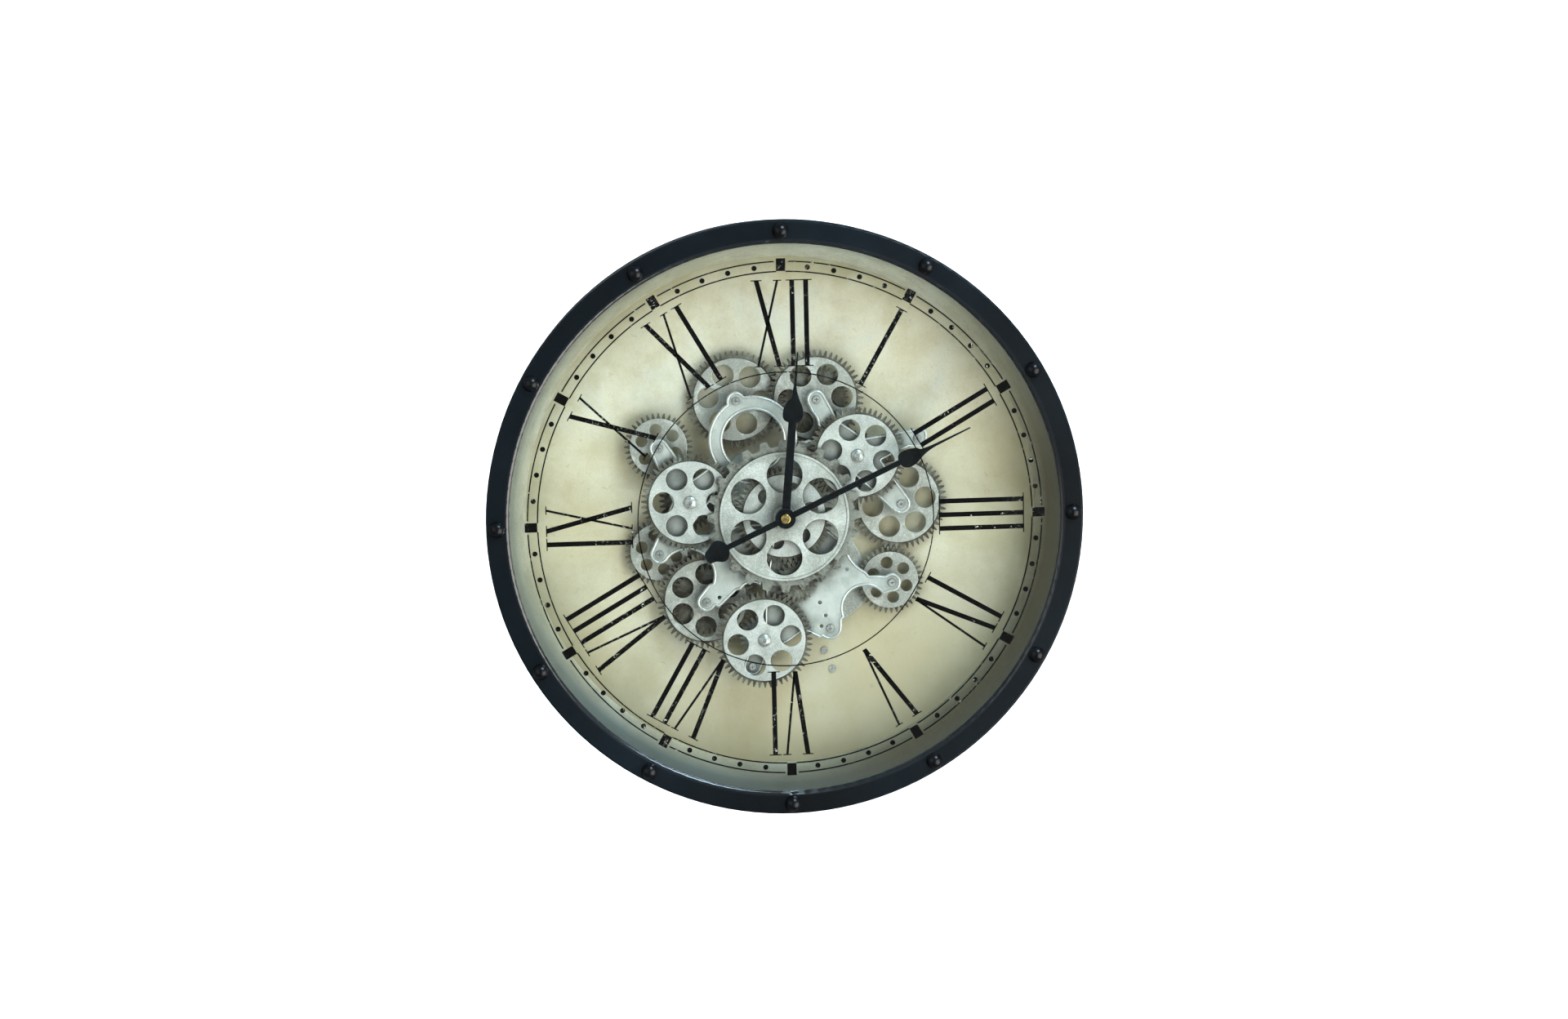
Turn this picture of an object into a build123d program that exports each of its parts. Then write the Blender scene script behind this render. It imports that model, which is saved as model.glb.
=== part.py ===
from build123d import *

"""Round wall clock with a black metal case, numerals on the glass and a working skeleton gear train.

Frame: the wall is the plane y = 0 and the clock faces -Y, with +Z up. The origin is the centre of the
hanging keyhole. "front" values are distances in mm from the wall towards the viewer, so front = -y.
Places on the dial are (across, up) in mm from the dial axis.
"""

import os
from math import atan2, cos, degrees, hypot, pi, radians, sin

# ---------------------------------------------------------------- driving dimensions (mm)
CASE_RADIUS = 230.0
CASE_DEPTH = 80.0
SHEET = 1.2
DIAL_DROP = 180.0

BEZEL_INNER_RADIUS = 212.0
BEZEL_SHEET = 1.5
BEZEL_SKIRT_BACK = 54.0
BEZEL_LIP_ROUND = 2.8
BEZEL_EDGE_ROUND = 1.8
BOLT_RING_RADIUS = 221.7
BOLT_HEAD_RADIUS = 6.2
BOLT_HEAD_HEIGHT = 4.6
BOLT_COUNT = 12

GLASS_RADIUS = 217.5
GLASS_BACK = 74.0
GLASS_THICKNESS = 3.0
GASKET_THICKNESS = 1.0
FLANGE_FRONT = GLASS_BACK - GASKET_THICKNESS
FRONT_FLANGE_RADIUS = 214.6
REAR_FLANGE_RADIUS = 214.0
BLOCK_RADIUS = 4.0
BOLT_SHANK = 2.0
BOLT_BORE = 2.05

DIAL_RADIUS = 211.0
DIAL_BACK = 21.0
DIAL_FACE = 24.0
RIM_FOOT_RADIUS = 200.5
RIM_SHEET = 1.1
LEDGE_COUNT = 6
LEDGE_SHEET = 1.5
LEDGE_WIDTH = 18.0
LEDGE_DEPTH = 30.0
LEDGE_RING_RADIUS = 213.6
LEDGE_SCREW_RING_RADIUS = 205.0

BACK_THICKNESS = 3.0
COVER_SCREW_RING_RADIUS = 220.0
WINDOW_PLACE = (20.0, -52.0)
WINDOW_WIDTH = 170.0
WINDOW_HEIGHT = 200.0
WINDOW_CORNER = 14.0
KEYHOLE_RADIUS = 5.0
KEYHOLE_SLOT = 4.6
KEYHOLE_RISE = 11.0
HANGER_WIDTH = 45.6
HANGER_HEIGHT = 33.6
HANGER_SHEET = 1.5
HANGER_CORNER = 3.0
HANGER_PLACE = (0.0, DIAL_DROP)
NAIL_OPENING = (16.0, 25.0)
NAIL_OPENING_PLACE = (0.0, DIAL_DROP + 4)
HANGER_SCREWS = [(-17.5, DIAL_DROP), (17.5, DIAL_DROP)]

# Gear train
MODULE = 1.42
ADDENDUM = 1.08
DEDENDUM = 3.3
TIP_HALF_WIDTH = 0.5
ROOT_HALF_WIDTH = 1.5
WHEEL_TEETH = 52
SMALL_TEETH = 36
IDLER_TEETH = 22
COARSE_TEETH = 24
COARSE_TIP_RADIUS = 59.7
COARSE_ROOT_RADIUS = 54.7
COARSE_TIP_HALF = 2.5
COARSE_ROOT_HALF = 4.0
COARSE_PHASE = -0.2

TOOTHED_SHEET = 1.5
REAR_LEVEL = 29.5
MIDDLE_LEVEL = 34.5
BRIDGE_LEVEL = 43.5
BRIDGE_SHEET = 2.0
BRIDGE_FRONT = BRIDGE_LEVEL + BRIDGE_SHEET
TOP_LEVEL = 48.3
TOP_FACE_LEVEL = 49.9
TOP_FACE_FRONT = 51.1
TALL_STUD_FRONT = TOP_FACE_FRONT + 0.2
COARSE_LEVEL = 52.2
CENTRE_FACE_LEVEL = 53.8
CENTRE_FACE_FRONT = 55.2

FACE_SHEET = 1.0
FACE_BEVEL = 0.25
FACE_RADIUS = 32.2
SMALL_FACE_RADIUS = 22.4
CENTRE_FACE_RADIUS = 50.4
FACE_HOLE = 8.4
FACE_PITCH = 20.9
FINE_HOLE = 6.0
SMALL_HOLE = 4.7
SMALL_PITCH = 13.9

POST_RADIUS = 2.0
POST_FLANGE_RADIUS = 5.0
POST_FLANGE_FRONT = 25.2
HUB_BORE = 2.05
HUB_RADIUS = 4.0
HUB_BACK = 25.5
WHEEL_BORE = 4.02
LOWER_ARBOR_RADIUS = 2.5
SCREW_SHANK = 1.25
TAPPED_BORE = 1.3
CLEARANCE_BORE = 1.6
PAN_HEAD_RADIUS = 2.8
PAN_HEAD_HEIGHT = 1.7
BLIND_SKIN = 0.5
COVER_HEAD_RADIUS = 2.9
COVER_HEAD_SINK = 1.4
COVER_CROSS = (3.6, 0.7, 0.7)
BOX_HEAD_RADIUS = 2.7
BOX_HEAD_HEIGHT = 1.2
COUNTERSUNK_RADIUS = 2.6
COUNTERSUNK_HEIGHT = 1.2
LUG_HEAD_RADIUS = 2.85
LUG_HEAD_HEIGHT = 1.1
LUG_BOSS_RADIUS = 2.3
LUG_BOSS_HEIGHT = 0.7
LUG_CROSS = (3.4, 0.6)
WHEEL_SCREW_RADIUS = 4.7
WHEEL_SCREW_RISE = 1.6
WHEEL_SCREW_COLLAR = 0.9
WHEEL_SCREW_SOCKET = 1.5
RIVET_RADIUS = 1.5
PILLAR_RADIUS = 3.0
TAPPED_DEPTH = 8.0

# Hands
HOUR_HAND_BACK = 64.0
MINUTE_HAND_BACK = 67.0
HAND_SHEET = 1.2
HOUR_HAND_LENGTH = 128.9
MINUTE_HAND_LENGTH = 159.0
HAND_HUB_RADIUS = 7.8
HAND_TIP_HALF = 0.45
NUT_RADIUS = 3.8
NUT_HEIGHT = 2.6
HOUR_STEM_HALF = 3.3
MINUTE_STEM_HALF = 2.35
# (half width, reach) at the foot, the widest place, the shoulder and the end of each spade
HOUR_SPADE = [(3.05, 74.4), (7.9, 82.0), (4.9, 91.0), (1.0, 104.5)]
MINUTE_SPADE = [(2.1, 98.0), (6.9, 104.0), (3.9, 115.5), (1.0, 129.0)]
TAIL_SPADE = [(2.1, 49.5), (8.7, 57.4), (5.7, 63.9), (0.0, 69.0)]
MINUTE_ANGLE = 65.3
HOUR_ANGLE = MINUTE_ANGLE / 12

MINUTE_ARBOR_RADIUS = 1.6
HOUR_PIPE_BORE = 1.66
HOUR_PIPE_RADIUS = 3.0
BUSH_BORE = 3.06
BUSH_RADIUS = 4.0
TUBE_RADIUS = 6.0
TUBE_FRONT = 59.5

# Gear motor
MOTOR_RADIUS = 24.0
MOTOR_BACK = 6.0
MOTOR_EAR_REACH = 29.5
MOTOR_EAR_SPAN = 70.0
MOTOR_EAR_WIDTH = 11.0
MOTOR_EAR_ROUND = 5.4
MOTOR_EAR_SHEET = 2.0
SHAFT_BACK = 12.0

# Quartz movement
MOVEMENT_SIDE = 58.0
MOVEMENT_BACK = 5.0
MOTION_CENTRES = 13.0

# ---------------------------------------------------------------- placing
FRONT = Plane(origin=(0, 0, -DIAL_DROP), x_dir=(1, 0, 0), z_dir=(0, -1, 0))
SECTION = Plane(origin=(0, 0, -DIAL_DROP), x_dir=(1, 0, 0), z_dir=(0, 0, 1))
DIAL_AXIS = Axis((0, 0, -DIAL_DROP), (0, 1, 0))


def step_from(place, heading, distance):
    """The place at a distance from another, with heading in degrees counter-clockwise from +X."""
    return (place[0] + distance * cos(radians(heading)), place[1] + distance * sin(radians(heading)))


def centre_distance(teeth, mate_teeth, module=MODULE):
    return module * (teeth + mate_teeth) / 2


def mesh_phase(phase, teeth, heading, mate_teeth):
    """Angle of one tooth of the mate, so that it meshes with a wheel whose tooth is at phase."""
    return heading + 180 + (180 - (phase - heading) * teeth) / mate_teeth


CENTRE = (0.0, 0.0)
LEFT_HEADING = 170.1
RIGHT_HEADING = 38.0
IDLER_HEADING = -80.7
LOWER_HEADING = 240.2
UPPER_RIGHT_HEADING = 125.0
UPPER_LEFT_HEADING = 179.5
FAR_RIGHT_HEADING = -49.5
SMALL_RIGHT_HEADING = -97.5
LOWER_LEFT_HEADING = 145.1
SMALL_UPPER_HEADING = 118.4
SMALL_LEFT_HEADING = 132.5

LEFT_PINION_TEETH = 32
RIGHT_PINION_TEETH = 24
RIGHT_REAR_PINION_TEETH = 21
LOWER_PINION_TEETH = 24
UPPER_REAR_TEETH = 36
LOWER_LEFT_REAR_TEETH = 38

LEFT = step_from(CENTRE, LEFT_HEADING, centre_distance(WHEEL_TEETH, WHEEL_TEETH))
RIGHT = step_from(CENTRE, RIGHT_HEADING, centre_distance(WHEEL_TEETH, WHEEL_TEETH))
IDLER = step_from(CENTRE, IDLER_HEADING, centre_distance(WHEEL_TEETH, IDLER_TEETH))
LOWER = step_from(IDLER, LOWER_HEADING, centre_distance(IDLER_TEETH, WHEEL_TEETH))
UPPER_RIGHT = step_from(RIGHT, UPPER_RIGHT_HEADING, centre_distance(RIGHT_PINION_TEETH, WHEEL_TEETH))
UPPER_LEFT = step_from(UPPER_RIGHT, UPPER_LEFT_HEADING, centre_distance(UPPER_REAR_TEETH, WHEEL_TEETH))
FAR_RIGHT = step_from(RIGHT, FAR_RIGHT_HEADING, centre_distance(RIGHT_REAR_PINION_TEETH, WHEEL_TEETH))
SMALL_RIGHT = step_from(FAR_RIGHT, SMALL_RIGHT_HEADING, centre_distance(WHEEL_TEETH, SMALL_TEETH))
LOWER_LEFT = step_from(LOWER, LOWER_LEFT_HEADING, centre_distance(LOWER_PINION_TEETH, WHEEL_TEETH))
SMALL_UPPER = step_from(LEFT, SMALL_UPPER_HEADING, centre_distance(LEFT_PINION_TEETH, SMALL_TEETH))
SMALL_LEFT = step_from(LOWER_LEFT, SMALL_LEFT_HEADING, centre_distance(LOWER_LEFT_REAR_TEETH, SMALL_TEETH))

BRACKET = (105.5, 57.0)
LOWER_PILLAR = (34.6, -90.4)
HIDDEN_PILLAR = (-27.1, -118.9)
INNER_PILLARS = [(-45.0, -18.0), (44.0, 22.0), (40.0, -28.0)]

LEFT_PHASE = mesh_phase(0, WHEEL_TEETH, LEFT_HEADING, WHEEL_TEETH)
RIGHT_PHASE = mesh_phase(0, WHEEL_TEETH, RIGHT_HEADING, WHEEL_TEETH)
IDLER_PHASE = mesh_phase(0, WHEEL_TEETH, IDLER_HEADING, IDLER_TEETH)
LOWER_PHASE = mesh_phase(IDLER_PHASE, IDLER_TEETH, LOWER_HEADING, WHEEL_TEETH)
UPPER_RIGHT_PHASE = mesh_phase(0, RIGHT_PINION_TEETH, UPPER_RIGHT_HEADING, WHEEL_TEETH)
UPPER_LEFT_PHASE = mesh_phase(0, UPPER_REAR_TEETH, UPPER_LEFT_HEADING, WHEEL_TEETH)
FAR_RIGHT_PHASE = mesh_phase(0, RIGHT_REAR_PINION_TEETH, FAR_RIGHT_HEADING, WHEEL_TEETH)
SMALL_RIGHT_PHASE = mesh_phase(FAR_RIGHT_PHASE, WHEEL_TEETH, SMALL_RIGHT_HEADING, SMALL_TEETH)
LOWER_LEFT_PHASE = mesh_phase(0, LOWER_PINION_TEETH, LOWER_LEFT_HEADING, WHEEL_TEETH)
SMALL_UPPER_PHASE = mesh_phase(0, LEFT_PINION_TEETH, SMALL_UPPER_HEADING, SMALL_TEETH)
SMALL_LEFT_PHASE = mesh_phase(0, LOWER_LEFT_REAR_TEETH, SMALL_LEFT_HEADING, SMALL_TEETH)

os.makedirs("parts", exist_ok=True)


def save(piece, label):
    piece.label = label
    export_step(piece, f"parts/{label}.step")


# ---------------------------------------------------------------- features used inside a BuildPart
def disc(place, radius, back, front, mode=Mode.ADD):
    """A flat round between two distances from the wall."""
    with BuildSketch(FRONT.offset(back)) as outline:
        with Locations(place):
            Circle(radius)
    extrude(outline.sketch, amount=front - back, mode=mode)


def discs(places, radius, back, front, mode=Mode.ADD):
    with BuildSketch(FRONT.offset(back)) as outline:
        with Locations(*places):
            Circle(radius)
    extrude(outline.sketch, amount=front - back, mode=mode)


def block(place, width, height, back, front, corner=0.0, mode=Mode.ADD):
    with BuildSketch(FRONT.offset(back)) as outline:
        with Locations(place):
            if corner:
                RectangleRounded(width, height, corner)
            else:
                Rectangle(width, height)
    extrude(outline.sketch, amount=front - back, mode=mode)


def turned(points, mode=Mode.ADD):
    """A ring about the dial axis, from (radius, distance from the wall) points."""
    with BuildSketch(SECTION) as profile:
        with BuildLine():
            Polyline([(radius, -front) for radius, front in points], close=True)
        make_face()
    revolve(profile.sketch, axis=DIAL_AXIS, mode=mode)


def dome(place, radius, height, back, collar=0.0):
    """A round screw head: a short collar under a spherical cap."""
    apex = back + collar + height
    if collar:
        disc(place, radius, back, back + collar)
    sphere_radius = (radius**2 + height**2) / (2 * height)
    centre = FRONT.from_local_coords(Vector(*place, 0))
    with BuildSketch(Plane(centre, x_dir=(1, 0, 0), z_dir=(0, 0, 1))) as half:
        with BuildLine():
            Line((0, -back - collar), (radius, -back - collar))
            RadiusArc((radius, -back - collar), (0, -apex), sphere_radius)
            Line((0, -apex), (0, -back - collar))
        make_face()
    revolve(half.sketch, axis=Axis(centre, (0, 1, 0)))


def wheel_screw_head(place, back):
    """The domed head in the middle of a front wheel, with a round socket."""
    dome(place, WHEEL_SCREW_RADIUS, WHEEL_SCREW_RISE, back, WHEEL_SCREW_COLLAR)
    disc(place, WHEEL_SCREW_SOCKET, back + 1.8, back + 3.8, Mode.SUBTRACT)


def gear_outline(place, teeth, phase, module=MODULE, addendum=ADDENDUM, dedendum=DEDENDUM,
                 tip_half=TIP_HALF_WIDTH, root_half=ROOT_HALF_WIDTH):
    """Adds a toothed face to the active sketch: straight-sided teeth with a narrow flat tip."""
    tip = module * teeth / 2 + addendum
    root = module * teeth / 2 - dedendum
    root_width = min(root_half, 0.46 * 2 * pi * root / teeth)
    corners = []
    for tooth in range(teeth):
        turn = radians(phase + 360 * tooth / teeth)
        for reach, side in ((root, -root_width), (tip, -tip_half), (tip, tip_half), (root, root_width)):
            across = place[0] + reach * cos(turn) - side * sin(turn)
            up = place[1] + reach * sin(turn) + side * cos(turn)
            corners.append((across, up))
    with BuildLine() as edge:
        Polyline(corners, close=True)
    make_face(edge.line)


def toothed_plate(place, teeth, phase, back, bore, openings=None, thickness=TOOTHED_SHEET, **shape):
    """A toothed wheel cut from sheet, with an optional ring of (count, radius, pitch radius, turn) holes."""
    with BuildSketch(FRONT.offset(back)) as outline:
        gear_outline(place, teeth, phase, **shape)
        with Locations(place):
            Circle(bore, mode=Mode.SUBTRACT)
            if openings:
                count, radius, pitch_radius, turn = openings
                with PolarLocations(pitch_radius, count, start_angle=turn):
                    Circle(radius, mode=Mode.SUBTRACT)
    extrude(outline.sketch, amount=thickness)


def pierced_face(place, radius, bore, back, front, openings):
    """The smooth round face plate in front of a toothed wheel, with its ring of holes."""
    count, hole_radius, pitch_radius, turn = openings
    with BuildSketch(FRONT.offset(back)) as outline:
        with Locations(place):
            Circle(radius)
            Circle(bore, mode=Mode.SUBTRACT)
            with PolarLocations(pitch_radius, count, start_angle=turn):
                Circle(hole_radius, mode=Mode.SUBTRACT)
    extrude(outline.sketch, amount=front - back)
    chamfer(edges().group_by(Axis.Y)[0], FACE_BEVEL)


def sleeve(place, radius, bore, back, front):
    with BuildSketch(FRONT.offset(back)) as outline:
        with Locations(place):
            Circle(radius)
            Circle(bore, mode=Mode.SUBTRACT)
    extrude(outline.sketch, amount=front - back)


def arm(start, start_radius, end, end_radius):
    """Adds a tapered arm with round ends to the active sketch."""
    heading = degrees(atan2(end[1] - start[1], end[0] - start[0]))
    length = hypot(end[0] - start[0], end[1] - start[1])
    lean = degrees(atan2(start_radius - end_radius, length))
    corners = [
        step_from(start, heading + 90 - lean, start_radius),
        step_from(end, heading + 90 - lean, end_radius),
        step_from(end, heading - 90 + lean, end_radius),
        step_from(start, heading - 90 + lean, start_radius),
    ]
    with Locations(start):
        Circle(start_radius)
    with Locations(end):
        Circle(end_radius)
    with BuildLine() as edge:
        Polyline(corners, close=True)
    make_face(edge.line)


# ---------------------------------------------------------------- case
bolt_places = [step_from(CENTRE, 30 * step, BOLT_RING_RADIUS) for step in range(BOLT_COUNT)]
ledge_screws = [step_from(CENTRE, 60 * step, LEDGE_SCREW_RING_RADIUS) for step in range(LEDGE_COUNT)]
cover_screws = [step_from(CENTRE, 30 + 60 * step, COVER_SCREW_RING_RADIUS) for step in range(6)]

with BuildPart() as case_drum:
    wall_outer = CASE_RADIUS - BEZEL_SHEET - 0.1
    wall_inner = wall_outer - SHEET
    turned([(wall_inner, 0), (wall_outer, 0), (wall_outer, FLANGE_FRONT), (wall_inner, FLANGE_FRONT)])
    turned([
        (FRONT_FLANGE_RADIUS, FLANGE_FRONT - SHEET),
        (wall_outer, FLANGE_FRONT - SHEET),
        (wall_outer, FLANGE_FRONT),
        (FRONT_FLANGE_RADIUS, FLANGE_FRONT),
    ])
    turned([
        (REAR_FLANGE_RADIUS, BACK_THICKNESS),
        (wall_outer, BACK_THICKNESS),
        (wall_outer, BACK_THICKNESS + SHEET),
        (REAR_FLANGE_RADIUS, BACK_THICKNESS + SHEET),
    ])
    # six ledges that carry the dial board, and tapped blocks for the bezel bolts
    with BuildSketch(FRONT.offset(DIAL_BACK - LEDGE_SHEET)) as ledges:
        with PolarLocations(LEDGE_RING_RADIUS, LEDGE_COUNT):
            Rectangle(LEDGE_DEPTH, LEDGE_WIDTH)
        Circle(wall_outer - 0.4, mode=Mode.INTERSECT)
    extrude(ledges.sketch, amount=LEDGE_SHEET)
    discs(bolt_places, BLOCK_RADIUS, GLASS_BACK - 6, FLANGE_FRONT - SHEET)
    discs(bolt_places, BOLT_BORE, GLASS_BACK - 7, GLASS_BACK, Mode.SUBTRACT)
    discs(ledge_screws, CLEARANCE_BORE, DIAL_BACK - 2, DIAL_BACK + 1, Mode.SUBTRACT)
    discs(cover_screws, TAPPED_BORE, BACK_THICKNESS - 1, BACK_THICKNESS + 3, Mode.SUBTRACT)
save(case_drum.part, "case_drum")

with BuildPart() as bezel_ring:
    skirt_inner = CASE_RADIUS - BEZEL_SHEET
    face_back = CASE_DEPTH - BEZEL_SHEET
    turned([
        (BEZEL_INNER_RADIUS, GLASS_BACK + GLASS_THICKNESS),
        (BEZEL_INNER_RADIUS + BEZEL_SHEET, GLASS_BACK + GLASS_THICKNESS),
        (BEZEL_INNER_RADIUS + BEZEL_SHEET, face_back),
        (skirt_inner, face_back),
        (skirt_inner, BEZEL_SKIRT_BACK),
        (CASE_RADIUS, BEZEL_SKIRT_BACK),
        (CASE_RADIUS, CASE_DEPTH),
        (BEZEL_INNER_RADIUS, CASE_DEPTH),
    ])
    front_edges = bezel_ring.edges().filter_by(GeomType.CIRCLE).group_by(Axis.Y)[0].sort_by(SortBy.RADIUS)
    fillet(front_edges[-1], BEZEL_EDGE_ROUND)
    front_edges = bezel_ring.edges().filter_by(GeomType.CIRCLE).group_by(Axis.Y)[0].sort_by(SortBy.RADIUS)
    fillet(front_edges[0], BEZEL_LIP_ROUND)
    discs(bolt_places, BOLT_BORE, face_back - 1, CASE_DEPTH + 1, Mode.SUBTRACT)
save(bezel_ring.part, "bezel_ring")

with BuildPart() as bezel_bolts:
    for place in bolt_places:
        disc(place, BOLT_SHANK, GLASS_BACK - 6.5, CASE_DEPTH)
        dome(place, BOLT_HEAD_RADIUS, BOLT_HEAD_HEIGHT, CASE_DEPTH, collar=0.8)
save(bezel_bolts.part, "bezel_bolts")

with BuildPart() as glass:
    disc(CENTRE, GLASS_RADIUS, GLASS_BACK, GLASS_BACK + GLASS_THICKNESS)
save(glass.part, "glass")

with BuildPart() as glass_gasket:
    turned([
        (FRONT_FLANGE_RADIUS, FLANGE_FRONT),
        (GLASS_RADIUS - 0.5, FLANGE_FRONT),
        (GLASS_RADIUS - 0.5, GLASS_BACK),
        (FRONT_FLANGE_RADIUS, GLASS_BACK),
    ])
save(glass_gasket.part, "glass_gasket")

with BuildPart() as inner_rim:
    # a cone that widens from the dial board to the opening behind the glass
    turned([
        (RIM_FOOT_RADIUS, DIAL_FACE),
        (RIM_FOOT_RADIUS + RIM_SHEET, DIAL_FACE),
        (FRONT_FLANGE_RADIUS - 0.1, FLANGE_FRONT),
        (FRONT_FLANGE_RADIUS - 0.1 - RIM_SHEET, FLANGE_FRONT),
    ])
save(inner_rim.part, "inner_rim")

battery_box_screws = [(31.4, -111.7), (37.5, -126.6)]
motor_ears = [step_from(LOWER, 0, MOTOR_EAR_REACH), step_from(LOWER, 180, MOTOR_EAR_REACH)]
train_posts_on_dial = [
    LEFT, RIGHT, UPPER_RIGHT, UPPER_LEFT, FAR_RIGHT, SMALL_RIGHT, LOWER_LEFT, SMALL_UPPER, SMALL_LEFT,
]
pillars = [BRACKET, LOWER_PILLAR, HIDDEN_PILLAR, *INNER_PILLARS]

with BuildPart() as dial_board:
    disc(CENTRE, DIAL_RADIUS, DIAL_BACK, DIAL_FACE)
    disc(CENTRE, BUSH_RADIUS + 0.1, DIAL_BACK, DIAL_FACE, Mode.SUBTRACT)
    disc(LOWER, 6.0, DIAL_BACK, DIAL_FACE, Mode.SUBTRACT)
    discs(train_posts_on_dial + pillars, CLEARANCE_BORE, DIAL_BACK, DIAL_FACE, Mode.SUBTRACT)
    discs(battery_box_screws, TAPPED_BORE, DIAL_BACK, DIAL_FACE, Mode.SUBTRACT)
    discs(motor_ears, TAPPED_BORE, DIAL_BACK, DIAL_FACE - BLIND_SKIN, Mode.SUBTRACT)
    discs(ledge_screws, TAPPED_BORE, DIAL_BACK, DIAL_FACE - BLIND_SKIN, Mode.SUBTRACT)
save(dial_board.part, "dial_board")

with BuildPart() as back_cover:
    disc(CENTRE, wall_inner - 0.3, 0, BACK_THICKNESS)
    # window for the setting knob and the batteries
    block(WINDOW_PLACE, WINDOW_WIDTH, WINDOW_HEIGHT, 0, BACK_THICKNESS, WINDOW_CORNER, Mode.SUBTRACT)
    # pocket for the hanging plate and the opening for the nail behind it
    block(HANGER_PLACE, HANGER_WIDTH + 0.4, HANGER_HEIGHT + 0.4, 0, HANGER_SHEET, HANGER_CORNER,
          Mode.SUBTRACT)
    block(NAIL_OPENING_PLACE, *NAIL_OPENING, 0, BACK_THICKNESS, HANGER_CORNER, Mode.SUBTRACT)
    discs(cover_screws, CLEARANCE_BORE, 0, BACK_THICKNESS, Mode.SUBTRACT)
    discs(cover_screws, COVER_HEAD_RADIUS + 0.3, 0, COVER_HEAD_SINK, Mode.SUBTRACT)
    discs(HANGER_SCREWS, TAPPED_BORE, 0, BACK_THICKNESS, Mode.SUBTRACT)
save(back_cover.part, "back_cover")

with BuildPart() as hanger_plate:
    block(HANGER_PLACE, HANGER_WIDTH, HANGER_HEIGHT, 0, HANGER_SHEET, HANGER_CORNER)
    disc(HANGER_PLACE, KEYHOLE_RADIUS, 0, HANGER_SHEET, Mode.SUBTRACT)
    with BuildSketch(FRONT) as slot:
        with Locations((0, DIAL_DROP + KEYHOLE_RISE / 2)):
            Rectangle(KEYHOLE_SLOT, KEYHOLE_RISE)
        with Locations((0, DIAL_DROP + KEYHOLE_RISE)):
            Circle(KEYHOLE_SLOT / 2)
    extrude(slot.sketch, amount=HANGER_SHEET, mode=Mode.SUBTRACT)
    discs(HANGER_SCREWS, SCREW_SHANK + 0.25, 0, HANGER_SHEET, Mode.SUBTRACT)
    for place in HANGER_SCREWS:
        with BuildSketch(FRONT) as sink:
            with Locations(place):
                Circle(COUNTERSUNK_RADIUS + 0.3)
        extrude(sink.sketch, amount=COUNTERSUNK_HEIGHT, taper=45, mode=Mode.SUBTRACT)
save(hanger_plate.part, "hanger_plate")

with BuildPart() as case_screws:
    # back cover screws, from behind
    for place in cover_screws:
        reach, width, depth = COVER_CROSS
        disc(place, SCREW_SHANK, COVER_HEAD_SINK, 8.0)
        disc(place, COVER_HEAD_RADIUS, 0.1, COVER_HEAD_SINK)
        block(place, reach, width, 0.1, 0.1 + depth, mode=Mode.SUBTRACT)
        block(place, width, reach, 0.1, 0.1 + depth, mode=Mode.SUBTRACT)
    # dial board screws, through the ledges from behind
    for place in ledge_screws:
        ledge_back = DIAL_BACK - LEDGE_SHEET
        disc(place, PAN_HEAD_RADIUS, ledge_back - PAN_HEAD_HEIGHT, ledge_back)
        disc(place, SCREW_SHANK, ledge_back, DIAL_FACE - 0.8)
    # motor screws, through its ears from behind
    for place in motor_ears:
        ear_back = DIAL_BACK - MOTOR_EAR_SHEET
        disc(place, PAN_HEAD_RADIUS, ear_back - PAN_HEAD_HEIGHT, ear_back)
        disc(place, SCREW_SHANK, ear_back, DIAL_FACE - 0.8)
    # battery box screws, with their heads on the dial
    for place in battery_box_screws:
        disc(place, SCREW_SHANK, DIAL_BACK - 1.4, DIAL_FACE)
        disc(place, BOX_HEAD_RADIUS, DIAL_FACE, DIAL_FACE + BOX_HEAD_HEIGHT)
    # countersunk screws of the hanging plate
    for place in HANGER_SCREWS:
        with BuildSketch(FRONT.offset(0.1)) as head:
            with Locations(place):
                Circle(COUNTERSUNK_RADIUS)
        extrude(head.sketch, amount=COUNTERSUNK_HEIGHT, taper=45)
        disc(place, SCREW_SHANK, 1.0, 7.0)
save(case_screws.part, "case_screws")

# ---------------------------------------------------------------- train frame
BASE_SHEET = 1.0
BASE_CORNERS = [
    (-58, -40), (-56, 22), (-34, 46), (30, 50), (52, 26), (54, -22), (62, -37), (63.5, -74.6), (46.3, -89.0),
    (4, -89), (-4, -66),
]

with BuildPart() as base_plate:
    with BuildSketch(FRONT.offset(DIAL_FACE)) as outline:
        with BuildLine():
            Polyline(BASE_CORNERS, close=True)
        make_face()
        fillet(outline.vertices(), 4.0)
        Circle(BUSH_RADIUS + 0.1, mode=Mode.SUBTRACT)
        with Locations(LOWER_PILLAR, *INNER_PILLARS):
            Circle(POST_FLANGE_RADIUS + 0.3, mode=Mode.SUBTRACT)
    extrude(outline.sketch, amount=BASE_SHEET)
save(base_plate.part, "base_plate")

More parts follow.
